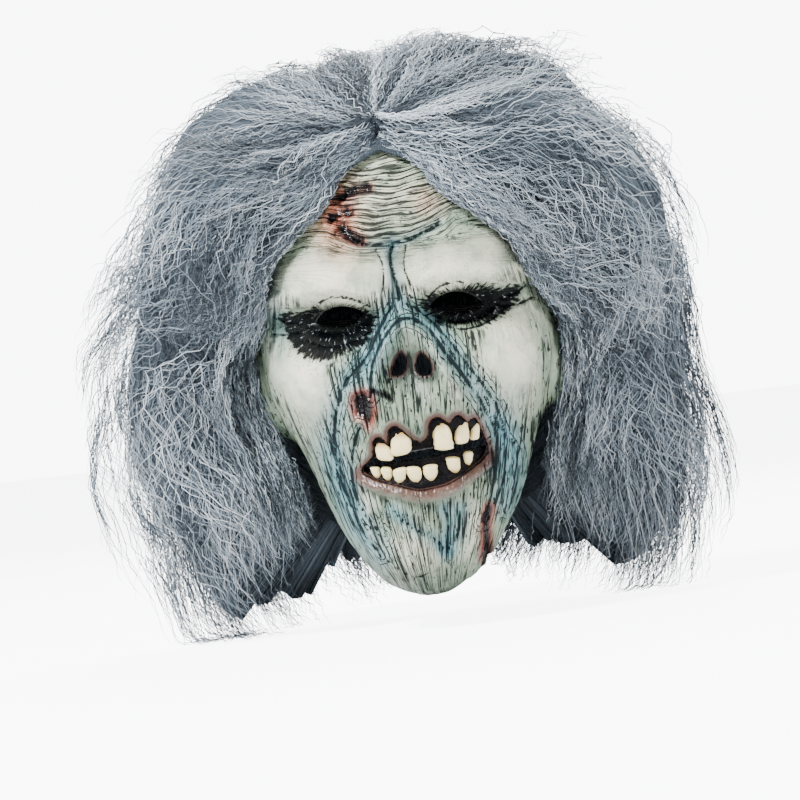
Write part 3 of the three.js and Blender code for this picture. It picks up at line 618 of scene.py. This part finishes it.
ink = kit.math("MULTIPLY", ink, kit.step(kit.math("ADD", masks.outputs[0],
                                                  kit.math("MULTIPLY", kit.math("SUBTRACT", blotch, 0.5),
                                                           0.9)), 0.2, 0.62))
ragged = kit.math("MULTIPLY_ADD", kit.noise(kit.place, 330.0, 3.0), 1.6, -0.8)
lines = kit.node("SeparateXYZ", {0: kit.attribute("lines", "Vector")}, 0).node
folds = kit.math("SUBTRACT", 1.0,
                 kit.step(kit.math("ADD", lines.outputs[0],
                                   kit.math("MULTIPLY_ADD", kit.math("SUBTRACT", breaks, 0.45), -2.2,
                                            kit.math("MULTIPLY", ragged, 0.4))), 0.15, 0.6))
ringed = kit.math("ADD", kit.math("MULTIPLY", kit.attribute("arcs", "Fac"), 0.4),
                  kit.math("MULTIPLY", breaks, 1.1))
ringed = kit.math("ABSOLUTE", kit.math("SUBTRACT", kit.math("FRACT", ringed), 0.5))
ringed = kit.math("SUBTRACT", 1.0, kit.step(kit.math("MULTIPLY_ADD", ragged, 0.06, ringed), 0.05, 0.13))
ringed = kit.math("MULTIPLY", ringed,
                  kit.math("SUBTRACT", 1.0, kit.step(kit.math("MULTIPLY_ADD", blotch, 5.0,
                                                              kit.attribute("arcs", "Fac")), 7.0, 11.0)))
ringed = kit.math("MULTIPLY", ringed, kit.step(kit.noise(kit.place, 130.0, 2.0), 0.42, 0.52))
folds = kit.math("MAXIMUM", folds, ringed)
wrinkle = kit.math("ABSOLUTE", kit.math("SUBTRACT", kit.math("FRACT", kit.attribute("wrinkles", "Fac")), 0.5))
wrinkle = kit.math("MULTIPLY_ADD", kit.math("SUBTRACT", breaks, 0.5), -0.55, wrinkle)
wrinkle = kit.math("SUBTRACT", 1.0, kit.step(kit.math("MULTIPLY_ADD", ragged, 0.05, wrinkle), 0.06, 0.15))
wrinkle = kit.math("MULTIPLY", wrinkle, kit.step(lines.outputs[2], 0.15, 0.5))
ink = kit.math("MAXIMUM", ink, kit.math("MAXIMUM", folds, wrinkle))
rim = kit.math("SUBTRACT", 1.0, kit.step(kit.math("ADD", lines.outputs[1], ragged), 0.3, 1.2))
ink = kit.math("MAXIMUM", ink, rim)
colour = kit.mix(kit.step(blotch, 0.35, 0.7), kit.attribute("paint"),
                 kit.mix(1.0, kit.attribute("paint"), (0.74, 0.82, 0.78), "MULTIPLY"))
stained = kit.mix(1.0, colour, (0.66, 0.73, 0.72), "MULTIPLY")
colour = kit.mix(kit.step(mottle, 0.46, 0.68), colour, stained)
colour = kit.mix(kit.math("MULTIPLY", ink, 0.95), colour, INK)
brushed = kit.noise(kit.attribute("rays", "Vector"), 3.2, 3.0)
socket = kit.math("SUBTRACT", 1.0,
                  kit.step(kit.math("MULTIPLY_ADD", kit.math("SUBTRACT", brushed, 0.5), 16.0,
                                    masks.outputs[1]), -2.0, 0.6))
bristles = kit.step(kit.noise(kit.attribute("rays", "Vector"), 7.5, 2.0), 0.57, 0.64)
bristles = kit.math("MULTIPLY", bristles,
                    kit.math("SUBTRACT", 0.5, kit.math("MULTIPLY", kit.step(masks.outputs[1], 2.0, 15.0),
                                                       0.5)))
colour = kit.mix(bristles, colour, INK * 3)
colour = kit.mix(kit.math("MULTIPLY", socket, 0.97), colour, INK * 0.45)
# Painted highlight: pale streaks in the glossy black sockets.
socket_glints = kit.step(brushed, 0.61, 0.7)
dark = kit.math("MAXIMUM", ink, socket)
colour = kit.mix(kit.math("MULTIPLY", kit.math("MULTIPLY", socket_glints, socket), 0.75), colour,
                 linear(178, 188, 194))
height = kit.math("MULTIPLY", ink, -1.0)
height = kit.math("ADD", height, kit.math("MULTIPLY", coarse, 1.2))
height = kit.math("ADD", height, kit.math("MULTIPLY", kit.math("MULTIPLY", brushed, socket), 1.6))
height = kit.math("ADD", height, kit.math("MULTIPLY", mottle, 0.7))
height = kit.math("ADD", height, kit.math("MULTIPLY", kit.noise(kit.place, 260.0, 4.0), 0.8))
kit.surface(
    Base_Color=colour,
    Roughness=kit.math("SUBTRACT", kit.math("MULTIPLY_ADD", blotch, 0.14, 0.36),
                       kit.math("MULTIPLY", masks.outputs[2], 0.24)),
    Specular_IOR_Level=kit.math("MULTIPLY_ADD", dark, -0.38, 0.42),
    Normal=kit.bump(height, 0.0011, 1.0),
)
# The skin is handed the mask and the jaw with two heights below the mouth, and stays in place.
mask_skin = solid("latex_skin", vertices, faces, ("mask", "jaw", (0, 0, -0.060), (0, 0, -0.100)),
                  "latex_skin", "face_skin", "jaw_skin", materials=[latex])
paint_points(mask_skin, "paint", paint)
paint_points(mask_skin, "masks",
             np.stack([wash, np.where(inner_side, 50, black_gap), wet * ~inner_side], 1), "FLOAT_VECTOR")
arcs = np.min([distance(x, z, GROOVES[n][0])[0] for n in (0, 1, 2, 3, 4, 5)], 0)
paint_points(mask_skin, "arcs", np.where(inner_side | (front < 0.5) | (lip < 0), 40, arcs), "FLOAT")
paint_points(mask_skin, "wrinkles", np.where(inner_side, 0, wrinkles), "FLOAT")
paint_points(mask_skin, "lines",
             np.stack([np.where(inner_side | (front < 0.5), 9, crease),
                       np.where(inner_side, 9, np.abs(lip)), np.where(inner_side, 0,
                           wrinkled)], 1), "FLOAT_VECTOR")
paint_points(mask_skin, "flow", flow, "FLOAT_VECTOR")
paint_points(mask_skin, "rays", rays, "FLOAT_VECTOR")


# ---------------------------------------------------------------- gums
# Black glossy gum above and below the slit of the mouth, swollen round the root of each tooth.
UPPER_TEETH = [(-16.1, -75.7, 8.8, 10.4, 0.10), (-6.2, -72.6, 11.4, 13, -0.12),
               (15.7, -71.4, 11.2, 15.6, 0.05),
               (26.1, -70.6, 8.2, 13, -0.10), (32.8, -71, 5.2, 10, -0.15)]
LOWER_TEETH = [(-21.5, -86.6, 4.8, 6.3, 0.2), (-15.8, -88, 5.8, 7.4, 0.1), (-9.2, -89.8, 7.0, 8.4, -0.1),
               (-1.3, -90.3, 7.4, 9.3, 0.08), (7, -90.4, 7.6, 9.0, -0.08), (19.6, -87.6, 7.2, 9.0, 0.1),
               (27.3, -85.2, 5.2, 7.6, -0.1)]
SLIT_MIDDLE = [(-40, -82.6), (0, -80.4), (45, -78)]
gum_black, kit = shader("gum_black", Roughness=0.2, Specular_IOR_Level=0.06)
gum_noise = kit.noise(kit.place, 300.0, 4.0, 0.6)
kit.surface(Base_Color=kit.mix(gum_noise, (0.001, 0.001, 0.0015), (0.006, 0.005, 0.006)),
            Normal=kit.bump(kit.math("ADD", gum_noise, kit.noise(kit.place, 900.0, 2.0)), 0.0009, 0.9))


def gum(name, body, node, teeth, border, side):
    u, v = [g.ravel() for g in np.meshgrid(np.linspace(0, 1, 64), np.linspace(0, 1, 26))]
    gx = -36 + 80 * u
    slit = through(SLIT_MIDDLE, gx) + side * 2.4
    gz = slit + (through(border, gx) - slit) * v
    swell = np.zeros(len(gx))
    for tx, tz, wide, tall, _ in teeth:
        root = tz + side * 0.42 * tall
        swell += 1.5 * blob(gx, gz, tx, root, 0.62 * wide, 2.6) - 0.9 * blob(gx, gz, tx, tz
            - side * 0.2 * tall, 0.4 * wide, 3)
    swell += 0.45 * np.sin(gx * 1.7 + 1.5 * np.sin(gz * 0.9)) * np.sin(gz * 1.2) - 1.6 * smooth(-v, -0.25, 0)
    outer = on_face(gx, gz, 3.0)[1]
    inner = on_face(gx, gz, 7.0)[1]
    outward = (outer - CENTRE) / np.linalg.norm(outer - CENTRE, axis=1)[:, None]
    outer = outer + np.minimum(swell, 2.1)[:, None] * outward
    order = grid_faces(64, 26)
    verts, quads, _ = shell(outer, inner, order if side > 0 else order[:, ::-1])
    return solid(name, verts, quads, body, "gum_black", node, materials=[gum_black])


gum("upper_gum_swollen", "mask", "upper_gum", UPPER_TEETH,
    [(-40, -76), (-20, -62), (0, -58), (20, -55), (34, -57), (46, -72)], 1)
gum("lower_gum_swollen", "jaw", "lower_gum", LOWER_TEETH,
    [(-40, -88), (-20, -99), (0, -105), (15, -104), (30, -97), (46, -84)], -1)

# ---------------------------------------------------------------- teeth
# Crooked peg teeth, each its own lump: narrow at the root, broad and worn at the biting edge, cream
# with a browner root.
enamel, kit = shader("enamel", Roughness=0.24, Specular_IOR_Level=0.55, Coat_Weight=0.35, Coat_Roughness=0.12)
stain = kit.noise(kit.place, 230.0, 4.0)
tooth_colour = kit.mix(kit.step(kit.attribute("toward_tip", "Fac"), 0.02, 0.4), linear(176, 138, 70),
                       linear(246, 228, 168))
tooth_colour = kit.mix(kit.math("MULTIPLY", kit.step(stain, 0.5, 0.75), 0.35), tooth_colour,
                       linear(216, 186, 118))
kit.surface(Base_Color=tooth_colour, Normal=kit.bump(stain, 0.0005, 0.5))
RING = 20


def tooth(name, body, node, place, side, seed):
    tx, tz, wide, tall, lean = place
    ring = np.random.default_rng(seed)
    t = np.array([-1, -0.97, -0.85, -0.65, -0.35, 0, 0.3, 0.55, 0.75, 0.88, 0.96, 1.0])
    girth = np.array([0.12, 0.36, 0.62, 0.76, 0.88, 0.96, 1.0, 1.0, 0.95, 0.82, 0.6, 0.25])
    if side < 0:
        girth = np.array([0.12, 0.3, 0.5, 0.66, 0.84, 0.96, 1.0, 1.0, 0.98, 0.9, 0.7, 0.3])
    turn = np.arange(RING) * 2 * np.pi / RING
    cx = np.sign(np.cos(turn)) * np.abs(np.cos(turn)) ** 0.8
    cy = np.sign(np.sin(turn)) * np.abs(np.sin(turn)) ** 0.8
    bulge = 1 + 0.05 * ring.standard_normal((len(t), 1)) + 0.04 * np.cos(turn * 2 + ring.uniform(0, 6))
    across = girth[:, None] * cx * wide / 2 * bulge
    deep = (girth[:, None] ** 0.7) * cy * min(2.9, 0.36 * wide + 0.6)
    up = -side * t[:, None] * tall / 2 + 0.10 * across * ring.uniform(-1,
        1) + lean * across * (t[:, None] > 0.5)
    across = across + lean * up
    _, base = on_face(np.array([tx]), np.array([tz]), 2.6)
    out = base[0] - CENTRE
    out[2] *= 0.35
    out /= np.linalg.norm(out)
    right_way = np.cross([0, 0, 1], -out)
    right_way = right_way / np.linalg.norm(right_way)
    up_way = np.cross(out, -right_way) if np.cross(out, -right_way)[2] > 0 else np.cross(right_way, -out)
    p = (base[0] + across[..., None] * right_way + up[..., None] * up_way
         + deep[..., None] * out).reshape(-1, 3)
    i, j = np.meshgrid(np.arange(RING), np.arange(len(t) - 1))
    i, j = i.ravel(), j.ravel()
    sides = np.stack([j * RING + i, j * RING + (i + 1) % RING, (j + 1) * RING + (i + 1) % RING,
                      (j + 1) * RING + i], 1)
    k = np.arange(RING // 2 - 1)
    cap = np.stack([k, k + 1, RING - 2 - k, RING - 1 - k], 1)
    quads = np.vstack([sides, cap[:, ::-1], cap + (len(t) - 1) * RING])
    a3, b3, c3 = p[quads[:, 0]], p[quads[:, 1]], p[quads[:, 2]]
    if np.einsum("ij,ij->", np.cross(b3 - a3, c3 - a3), a3 - p.mean(0)) < 0:
        quads = quads[:, ::-1]
    made = solid(name, p, quads, body, "tooth_enamel", node, materials=[enamel])
    paint_points(made, "toward_tip", np.repeat((t + 1) / 2, RING), "FLOAT")


for number, place in enumerate(UPPER_TEETH, 1):
    tooth(f"upper_tooth_{number}_worn", "mask", f"upper_tooth_{number}", place, 1, number)
for number, place in enumerate(LOWER_TEETH, 1):
    tooth(f"lower_tooth_{number}_worn", "jaw", f"lower_tooth_{number}", place, -1, 20 + number)

# ---------------------------------------------------------------- hair
# Crimped synthetic hair springs from the front of the hairline and lies back over the crown and down
# the sides. Matted masses fill it, coloured dark as painted shade deep in the hair, and clumps of fine zigzag
# strands cover them.
HAIR_FRONT = [(30, 138), (50, 150), (70, 160), (90, 162)]
HAIR_SIDE = [(-60, 158), (-40, 156), (-20, 159), (0, 162), (20, 162), (46, 174), (60, 172), (75, 166),
             (90, 162)]
HAIR_REAR = [(-60, 148), (-30, 142), (0, 140), (30, 144), (60, 154), (90, 162)]
HANG_INNER = [(-60, 122), (-40, 113), (-20, 111), (20, 112), (40, 113), (60, 128)]
HAIRLINE = [(0, 52), (20, 44), (40, 35), (60, 38), (78, 41), (180, 41)]
# Strands run out from the parting's front end like meridians; this is the edge nearest the face, as
# degrees round that pole from level, against degrees from it.
FACE_EDGE = [(0, -90), (4, -84), (9, -62), (15, -52), (22, -52), (34, -41), (48, -35), (62, -31),
             (78, -22), (95, -21),
             (108, -28), (118, -37), (130, -44), (145, -60), (160, -72), (176, -80)]
# The front edge of the hanging hair: degrees from straight ahead, against elevation.
HANG_FRONT = [(-60, 90), (-43, 85), (-28, 81), (-16, 77), (0, 72), (20, 64), (44, 52)]
POLE = np.array([0.0, -math.cos(math.radians(58)), math.sin(math.radians(58))])
BACKWARD = np.array([0.0, math.sin(math.radians(58)), math.cos(math.radians(58))])


# The hanging hair is handed the crown's body for its roots and its own body lower down, with two heights, and
# stays in place.
ROOTS, HANGS = (0, 0, 0.066), (0, 0, 0.026)
BODIES = {"crown": "mask", **{side: ("mask", f"hair_{side}", ROOTS, HANGS) for side in ("left", "right",
    "back")}}


def hair_limits(d):
    """Inner and outer radius of the hair along d, and how many degrees d is from the face."""
    rise = np.degrees(np.arcsin(np.clip(d[:, 2], -1, 1)))
    from_pole = np.degrees(np.arccos(np.clip(d @ POLE, -1, 1)))
    beta = np.arctan2(d @ BACKWARD, d[:, 0])
    turned, nearest = np.degrees(beta), through(FACE_EDGE, from_pole)
    from_face = np.minimum((turned - nearest) % 360, (180 - nearest - turned) % 360)
    from_face = np.where(from_face > 180 - nearest, 0, from_face)
    inner = skin_radius(d) + 3.2
    hanging = smooth(-rise, -46, -30) * smooth(from_face, 6, 32)
    inner = inner + hanging * (np.maximum(through(HANG_INNER, rise), inner) - inner)
    lumps = (4.0 * np.sin(5 * beta + 0.06 * from_pole) + 3.4 * np.sin(11 * beta - 0.05 * from_pole + 1.7)
             + 3.6 * np.sin(0.11 * from_pole + 3 * beta) + 2.0 * np.sin(23 * beta + 0.1 * from_pole))
    lean = 0.11 * np.maximum(0, -d[:, 0]) ** 2 * np.exp(-(((rise + 14) / 28) ** 2))
    outer = rounded(d, HAIR_FRONT, HAIR_SIDE, HAIR_REAR, 2) * (1 + lean) - 2 + lumps * smooth(from_pole,
        10, 45)
    outer = inner + (outer - inner) * (0.3 + 0.7 * smooth(from_pole, 2, 38))
    spill = 5 * smooth(d[:, 2], 0.35, 0.8) + smooth(-d[:, 2], 0.1, 0.5) * (6 + 8 * smooth(-d[:, 0], 0.2, 0.7))
    spill = spill + 16 * smooth(-d[:, 2], 0.4, 0.8) * smooth(np.abs(d[:, 0]), 0.2, 0.6)
    spill = spill + 15 * np.maximum(0, -d[:, 0]) ** 2 * np.exp(-(((rise + 16) / 24) ** 2))
    spill = (spill + 9 * np.maximum(0,
                                    d[:, 0]) ** 2 * np.exp(-(((rise - 4) / 30) ** 2))) * smooth(from_face,
                                        8, 30)
    return inner, outer + spill, from_face


def hang(p):
    """Spreads points sideways towards the hem, so that the hair doesn't close under the chin."""
    side = smooth(-p[..., 2], 35, 165) * smooth(np.abs(p[..., 0]), 35, 90)
    return p * np.stack([1 + 0.17 * side, np.ones_like(side), np.ones_like(side)], -1)


def headings(turn, rise):
    turn, rise = np.radians(turn), np.radians(rise)
    return np.stack([np.cos(rise) * np.sin(turn), -np.cos(rise) * np.cos(turn), np.sin(rise)], -1)


# Painted shade: the masses are coloured darker than the strands, for the shade deep in the hair.
matted, kit = shader("hair_mass_painted_shade", Roughness=0.75, Specular_IOR_Level=0.25)
combed = kit.noise(kit.attribute("comb", "Vector"), 1.0, 4.0, 0.6)
kit.surface(Base_Color=kit.mix(kit.step(combed, 0.3, 0.7), linear(30, 36, 43), linear(104, 118, 130)),
            Normal=kit.bump(combed, 0.003, 1.0))


HANG_LOW, HANG_TOP, HANG_BACK_EDGE = -50, 44, 126


def hairline(turn):
    """The crown mass's lower edge, as elevation: the curve of the hairline."""
    return through(HAIRLINE, np.abs(turn))


def ragged_hem(turn):
    """A hanging mass's lower edge, as elevation: two slow waves, and a jag at each column."""
    jag = (np.sin(12.9898 * turn) * 43758.5453) % 1 - 0.5
    return HANG_LOW + 2 * np.sin(0.21 * turn) + 1.2 * np.sin(0.55 * turn) + 6 * jag


def hair_mass(name, body, node, turns, lower, upper, wide, high, beside_face=False):
    """A matted mass on a grid of turn by elevation, ribbed along the strands and thin beside the face."""
    u, v = [g.ravel() for g in np.meshgrid(np.linspace(0, 1, wide), np.linspace(0, 1, high))]
    turn = turns[0] + (turns[1] - turns[0]) * u
    low = lower(turn)
    rise = low + (upper - low) * v
    if beside_face:
        front_turn = through(HANG_FRONT, rise)
        turn = np.sign(turns[0]) * (front_turn
                                    + (HANG_BACK_EDGE - front_turn) * (u if turns[0] > 0 else 1 - u))
    d = headings(turn, rise)
    inner, outer, from_face = hair_limits(d)
    beta = np.degrees(np.arctan2(d @ BACKWARD, d[:, 0]))
    from_pole = np.degrees(np.arccos(np.clip(d @ POLE, -1, 1)))
    comb = np.stack([beta * 2.4, from_pole * 0.14, np.zeros(len(u))], 1)
    ridge = np.sin(beta * 0.9 + 0.05 * from_pole) * 1.2 + np.sin(beta * 2.1 - 0.09 * from_pole + 1) * 0.9
    share = 0.08 + 0.74 * smooth(from_face, 3, 40)
    full = inner + (outer - inner) * share + ridge * smooth(from_face, 4, 20)
    full = np.maximum(full, inner + 2)
    verts, quads, used = shell(hang(CENTRE + full[:, None] * d), hang(CENTRE + inner[:, None] * d),
                               grid_faces(wide, high))
    made = solid(name, verts, quads, body, "hair", node, materials=[matted])
    paint_points(made, "comb", np.vstack([comb, comb])[used], "FLOAT_VECTOR")


hair_mass("crown_hair_matted", BODIES["crown"], "crown_hair", (-179.6, 179.6), hairline, 89.6, 220, 40)
hair_mass("left_hair_matted", BODIES["left"], "left_hair", (61, HANG_BACK_EDGE),
          ragged_hem, HANG_TOP, 90, 96, True)
hair_mass("right_hair_matted", BODIES["right"], "right_hair", (-HANG_BACK_EDGE, -61),
          ragged_hem, HANG_TOP, 90, 96, True)
hair_mass("back_hair_matted", BODIES["back"], "back_hair", (125, 235), ragged_hem, HANG_TOP, 120, 96)

strand_paint, kit = shader("strand", Roughness=0.55, Specular_IOR_Level=0.4)
tone = kit.attribute("tone", "Fac")
shade = kit.mix(kit.step(tone, 0.0, 0.5), linear(50, 58, 66), linear(138, 151, 162))
shade = kit.mix(kit.step(tone, 0.5, 1.0), shade, linear(222, 230, 236))
kit.surface(Base_Color=shade)
CLUMPS, FRONT_CLUMPS, IN_CLUMP, BENDS = 950, 370, 21, 10
HEM = -57.0  # elevation
LOOSE_SHARE, CRIMP, STRANDS_IN_PIECE = 0.16, 1.15, 2500
# How far the strands may go, in millimetres: low, high, and the ease before each.
HIGHEST, LOWEST, LEFTMOST, RIGHTMOST = (153, 4), (-172, 3), (178, 3), (-191, 3)
rng = np.random.default_rng(11)


def strand_heading(from_pole, around):
    """Directions so many degrees from the pole, from 0 at one edge of the face round the back to 1."""
    edge = through(FACE_EDGE, from_pole.ravel()).reshape(from_pole.shape)
    beta, rho = np.radians(edge + around * (180 - 2 * edge))[..., None], np.radians(from_pole)[..., None]
    return np.cos(rho) * POLE + np.sin(rho) * (np.cos(beta) * np.array([1.0, 0, 0]) + np.sin(beta) * BACKWARD)


def kept_inside(value, limit, ease, side):
    """Bends values smoothly so that none passes the limit: side is 1 for the most, -1 for the least."""
    return limit - side * ease * np.logaddexp(0, side * (limit - value) / ease)


pole_at = np.degrees(np.arccos(rng.uniform(math.cos(math.radians(168)), math.cos(math.radians(3)),
                                           2 * CLUMPS)))
pole_at = np.where(np.arange(2 * CLUMPS) % 8 == 0, rng.uniform(0, 22, 2 * CLUMPS), pole_at)
pole_at = np.append(pole_at, rng.uniform(3, 126, FRONT_CLUMPS))
near_face = rng.uniform(0, 0.1, FRONT_CLUMPS)
near_face = np.where(rng.uniform(0, 1, FRONT_CLUMPS) < 0.5, near_face, 1 - near_face)
round_at = np.append(rng.uniform(0, 1, 2 * CLUMPS), near_face)
start_level = strand_heading(pole_at, round_at)[:, 2]
above_hem = (start_level > math.sin(math.radians(HEM + 10))) & ((start_level < -0.42) | (rng.uniform(0, 1,
    len(pole_at)) < 0.48))
clump = np.flatnonzero(above_hem & ((np.arange(len(pole_at)) >= 2 * CLUMPS)
                                    | (np.cumsum(above_hem) <= CLUMPS)))
at_front = clump >= 2 * CLUMPS
clump = {
    "from_pole": pole_at[clump],
    "round": round_at[clump],
    "length": rng.uniform(14, 26, len(clump)),
    "root": np.where(at_front, rng.uniform(0.1, 0.6, len(clump)), rng.uniform(0.5, 1.0, len(clump))),
    "lift": np.where(at_front, rng.uniform(-0.02, 0.25, len(clump)), rng.uniform(-0.05, 0.32, len(clump))),
    "tone": rng.uniform(0.05, 0.9, len(clump)),
    "sway": rng.normal(0, 0.012, len(clump)),
}
member = np.repeat(np.arange(len(clump["tone"])), IN_CLUMP)
strands = len(member)
spread = rng.normal(0, 1, (strands, 3))
step = np.linspace(0, 1, BENDS + 1)[None, :]
loose = rng.uniform(0, 1, strands) < LOOSE_SHARE
hem = HEM + 9 * smooth(0.14 - np.minimum(clump["round"], 1 - clump["round"]), 0, 0.08)
start_rise = np.degrees(np.arcsin(strand_heading(clump["from_pole"], clump["round"])[:, 2]))
reach = np.minimum(clump["length"], 5 + np.maximum(start_rise - hem, 0))[member][:,
    None] * rng.uniform(0.7, 1.15, (strands, 1))
from_pole = clump["from_pole"][member][:, None] + 2.6 * spread[:, :1] + reach * step
from_pole = np.clip(from_pole, 0.5, 176)
gather = (1.0 - 0.45 * step) * np.where(loose, 2.2, 1.0)[:, None]
around = clump["round"][member][:, None] + 0.016 * spread[:, 1:2] * gather + clump["sway"][member][:,
    None] * step * 2 + 0.01 * loose[:, None] * spread[:, 2:3] * step * 3
curl = np.sin(2 * np.pi * (rng.uniform(0.8, 2.2, (strands, 1)) * step + rng.uniform(0, 1, (strands, 1))))
around = around + 0.005 * curl + 0.007 * spread[:, 2:3] * step
around = np.abs(around)
around = 1 - np.abs(1 - around)
d = strand_heading(from_pole, around)
inner, outer, from_face = [r.reshape(d.shape[:2]) for r in hair_limits(d.reshape(-1, 3))]
fill = clump["root"][member][:, None] + clump["lift"][member][:, None] * step + 0.05 * spread[:,
    2:3] + np.where(loose, 0.10, 0.0)[:, None] * step
fill = np.clip(fill, 0.0, 1.3) * (0.3 + 0.7 * smooth(from_face, 0, 34))
path = hang(CENTRE + (inner + fill * (outer - inner))[..., None] * d)
# Near the hem a strand falls straight down from its root under its own weight.
from_root = path - path[:, :1]
falls = (0.8 * smooth(-start_rise[member], 12, 44))[:, None, None]
length_down = 0.75 * np.linalg.norm(from_root, axis=2, keepdims=True)
path = path[:, :1] + (1 - falls) * from_root - falls * length_down * np.array([0.0, 0.0, 1.0])
path[..., 2] = kept_inside(kept_inside(path[..., 2], *HIGHEST, 1), *LOWEST, -1)
path[..., 0] = kept_inside(kept_inside(path[..., 0], *LEFTMOST, 1), *RIGHTMOST, -1)
ahead = np.gradient(path, axis=1)
ahead /= np.linalg.norm(ahead, axis=2, keepdims=True)
sideways = np.cross(ahead, d)
sideways /= np.linalg.norm(sideways, axis=2, keepdims=True)
zigzag = np.where(np.arange(BENDS + 1) % 2, 1.0, -1.0)[None, :] * rng.uniform(0.5, 1.25,
    (strands, BENDS + 1)) * rng.choice([-1, 1], (strands, 1))
wobble = rng.normal(0, 0.7, (strands, BENDS + 1))
path = path + CRIMP * zigzag[..., None] * sideways + wobble[..., None] * d
thick = rng.uniform(0.2, 0.36, (strands, 1)) * (1 - 0.7 * step**3)
corner = np.arange(3) * 2 * np.pi / 3
ring = np.cos(corner)[:, None] * sideways[:, :, None, :] + np.sin(corner)[:, None] * d[:, :, None, :]
points = path[:, :, None, :] + thick[..., None, None] * ring
strand_tone = np.clip(clump["tone"][member] + rng.normal(0, 0.2, strands)
                      + 0.25 * (rng.uniform(0, 1, strands) < 0.06), 0, 1)
k, c = [g.ravel() for g in np.meshgrid(np.arange(BENDS), np.arange(3), indexing="ij")]
tube = np.stack([k * 3 + c, (k + 1) * 3 + c, (k + 1) * 3 + (c + 1) % 3, k * 3 + (c + 1) % 3], 1)
ends = np.array([[0, 1, 2], [BENDS * 3 + 2, BENDS * 3 + 1, BENDS * 3]])
tip_turn = np.degrees(np.arctan2(d[:, -1, 0], -d[:, -1, 1]))
highest = path[:, -1, 2]
groups = {
    "crown": highest > 62,
    "left": (highest <= 62) & (tip_turn > 0) & (tip_turn <= 127),
    "right": (highest <= 62) & (tip_turn < 0) & (tip_turn >= -127),
    "back": (highest <= 62) & (np.abs(tip_turn) > 127),
}
per_strand = (BENDS + 1) * 3
sample = points[0].reshape(-1, 3)
a3, b3, c3 = sample[tube[:, 0]], sample[tube[:, 1]], sample[tube[:, 2]]
if np.einsum("ij,ij->", np.cross(b3 - a3, c3 - a3), a3 - path[0][tube[:, 0] // 3]) < 0:
    tube, ends = tube[:, ::-1], ends[:, ::-1]
for group, chosen in groups.items():
    chosen = np.flatnonzero(chosen)
    for part, some in enumerate(np.array_split(chosen, max(1, -(-len(chosen) // STRANDS_IN_PIECE)))):
        if not len(some):
            continue
        offset = (np.arange(len(some)) * per_strand)[:, None, None]
        made = solid(f"{group}_strands_{part + 1}", points[some].reshape(-1, 3),
                     [(tube + offset).reshape(-1, 4), (ends + offset).reshape(-1, 3)],
                     BODIES[group], "hair", materials=[strand_paint])
        # Painted shade: each strand is darker towards its root, deep in the hair.
        root_shaded = np.clip(strand_tone[some][:, None] - 0.25 * (1 - step) ** 2, 0, 1)
        paint_points(made, "tone", np.repeat(root_shaded[:, :, None], 3, 2).ravel(), "FLOAT")

# ---------------------------------------------------------------- tapes, patches and strap
# The sewn tapes are black twill and the patches brown leatherette. The strap is ribbed elastic with a
# moulded slider, and the rivets are brushed steel.
twill, kit = shader("weft_twill", Roughness=0.85, Specular_IOR_Level=0.2)
rows = kit.node("TexWave", {"Vector": kit.place, "Scale": 420.0, "Distortion": 1.2, "Detail": 1.0},
                wave_type="BANDS", bands_direction="DIAGONAL")
kit.surface(Base_Color=kit.mix(rows, linear(18, 20, 24), linear(58, 62, 70)),
            Normal=kit.bump(rows, 0.0004, 0.8))

patch_leather, kit = shader("strap_patch_leather", Specular_IOR_Level=0.4)
grain_cells = kit.node("TexVoronoi", {"Vector": kit.place, "Scale": 900.0})
wear = kit.noise(kit.place, 120.0, 4.0)
kit.surface(Base_Color=kit.mix(wear, linear(58, 52, 46), linear(104, 95, 84)),
            Roughness=kit.math("MULTIPLY_ADD", wear, 0.3, 0.4), Normal=kit.bump(grain_cells, 0.0003, 0.7))

elastic, kit = shader("ribbed_elastic", Roughness=0.8, Specular_IOR_Level=0.25)
ribs = kit.node("TexWave", {"Vector": kit.place, "Scale": 260.0, "Distortion": 0.3, "Detail": 1.0},
                wave_type="BANDS", bands_direction="Z")
threads = kit.noise(kit.stretch(kit.place, (300, 300, 2200)), 1.0, 2.0)
woven = kit.math("ADD", ribs, kit.math("MULTIPLY", threads, 0.5))
kit.surface(Base_Color=kit.mix(kit.math("MULTIPLY", woven, 0.7), linear(20, 20, 22), linear(66, 67, 72)),
            Normal=kit.bump(woven, 0.0004, 0.9))

moulded, kit = shader("slider_plastic", Specular_IOR_Level=0.5)
spark = kit.noise(kit.place, 700.0, 3.0)
kit.surface(Base_Color=kit.mix(spark, linear(16, 16, 18), linear(44, 45, 48)),
            Roughness=kit.math("MULTIPLY_ADD", spark, 0.2, 0.3), Normal=kit.bump(spark, 0.0001, 0.6))

brushed_steel, kit = shader("brushed_steel", Metallic=1.0)
scratches = kit.noise(kit.stretch(kit.place, (150, 150, 2600)), 1.0, 3.0)
kit.surface(Base_Color=kit.mix(scratches, linear(122, 124, 128), linear(178, 180, 184)),
            Roughness=kit.math("MULTIPLY_ADD", scratches, 0.25, 0.28), Normal=kit.bump(scratches, 0.00008,
                0.5))

for material, nodes in (
    (twill, ("hairline_weft_left", "hairline_weft_right", "crown_weft_left", "crown_weft_right")),
    (patch_leather, ("strap_patch_left", "strap_patch_right")),
    (elastic, ("elastic_strap", "strap_tail")),
    (moulded, ("strap_slider",)),
    (brushed_steel, ("strap_rivet_left", "strap_rivet_right")),
):
    for node in nodes:
        bpy.data.objects[node].material_slots[0].material = material
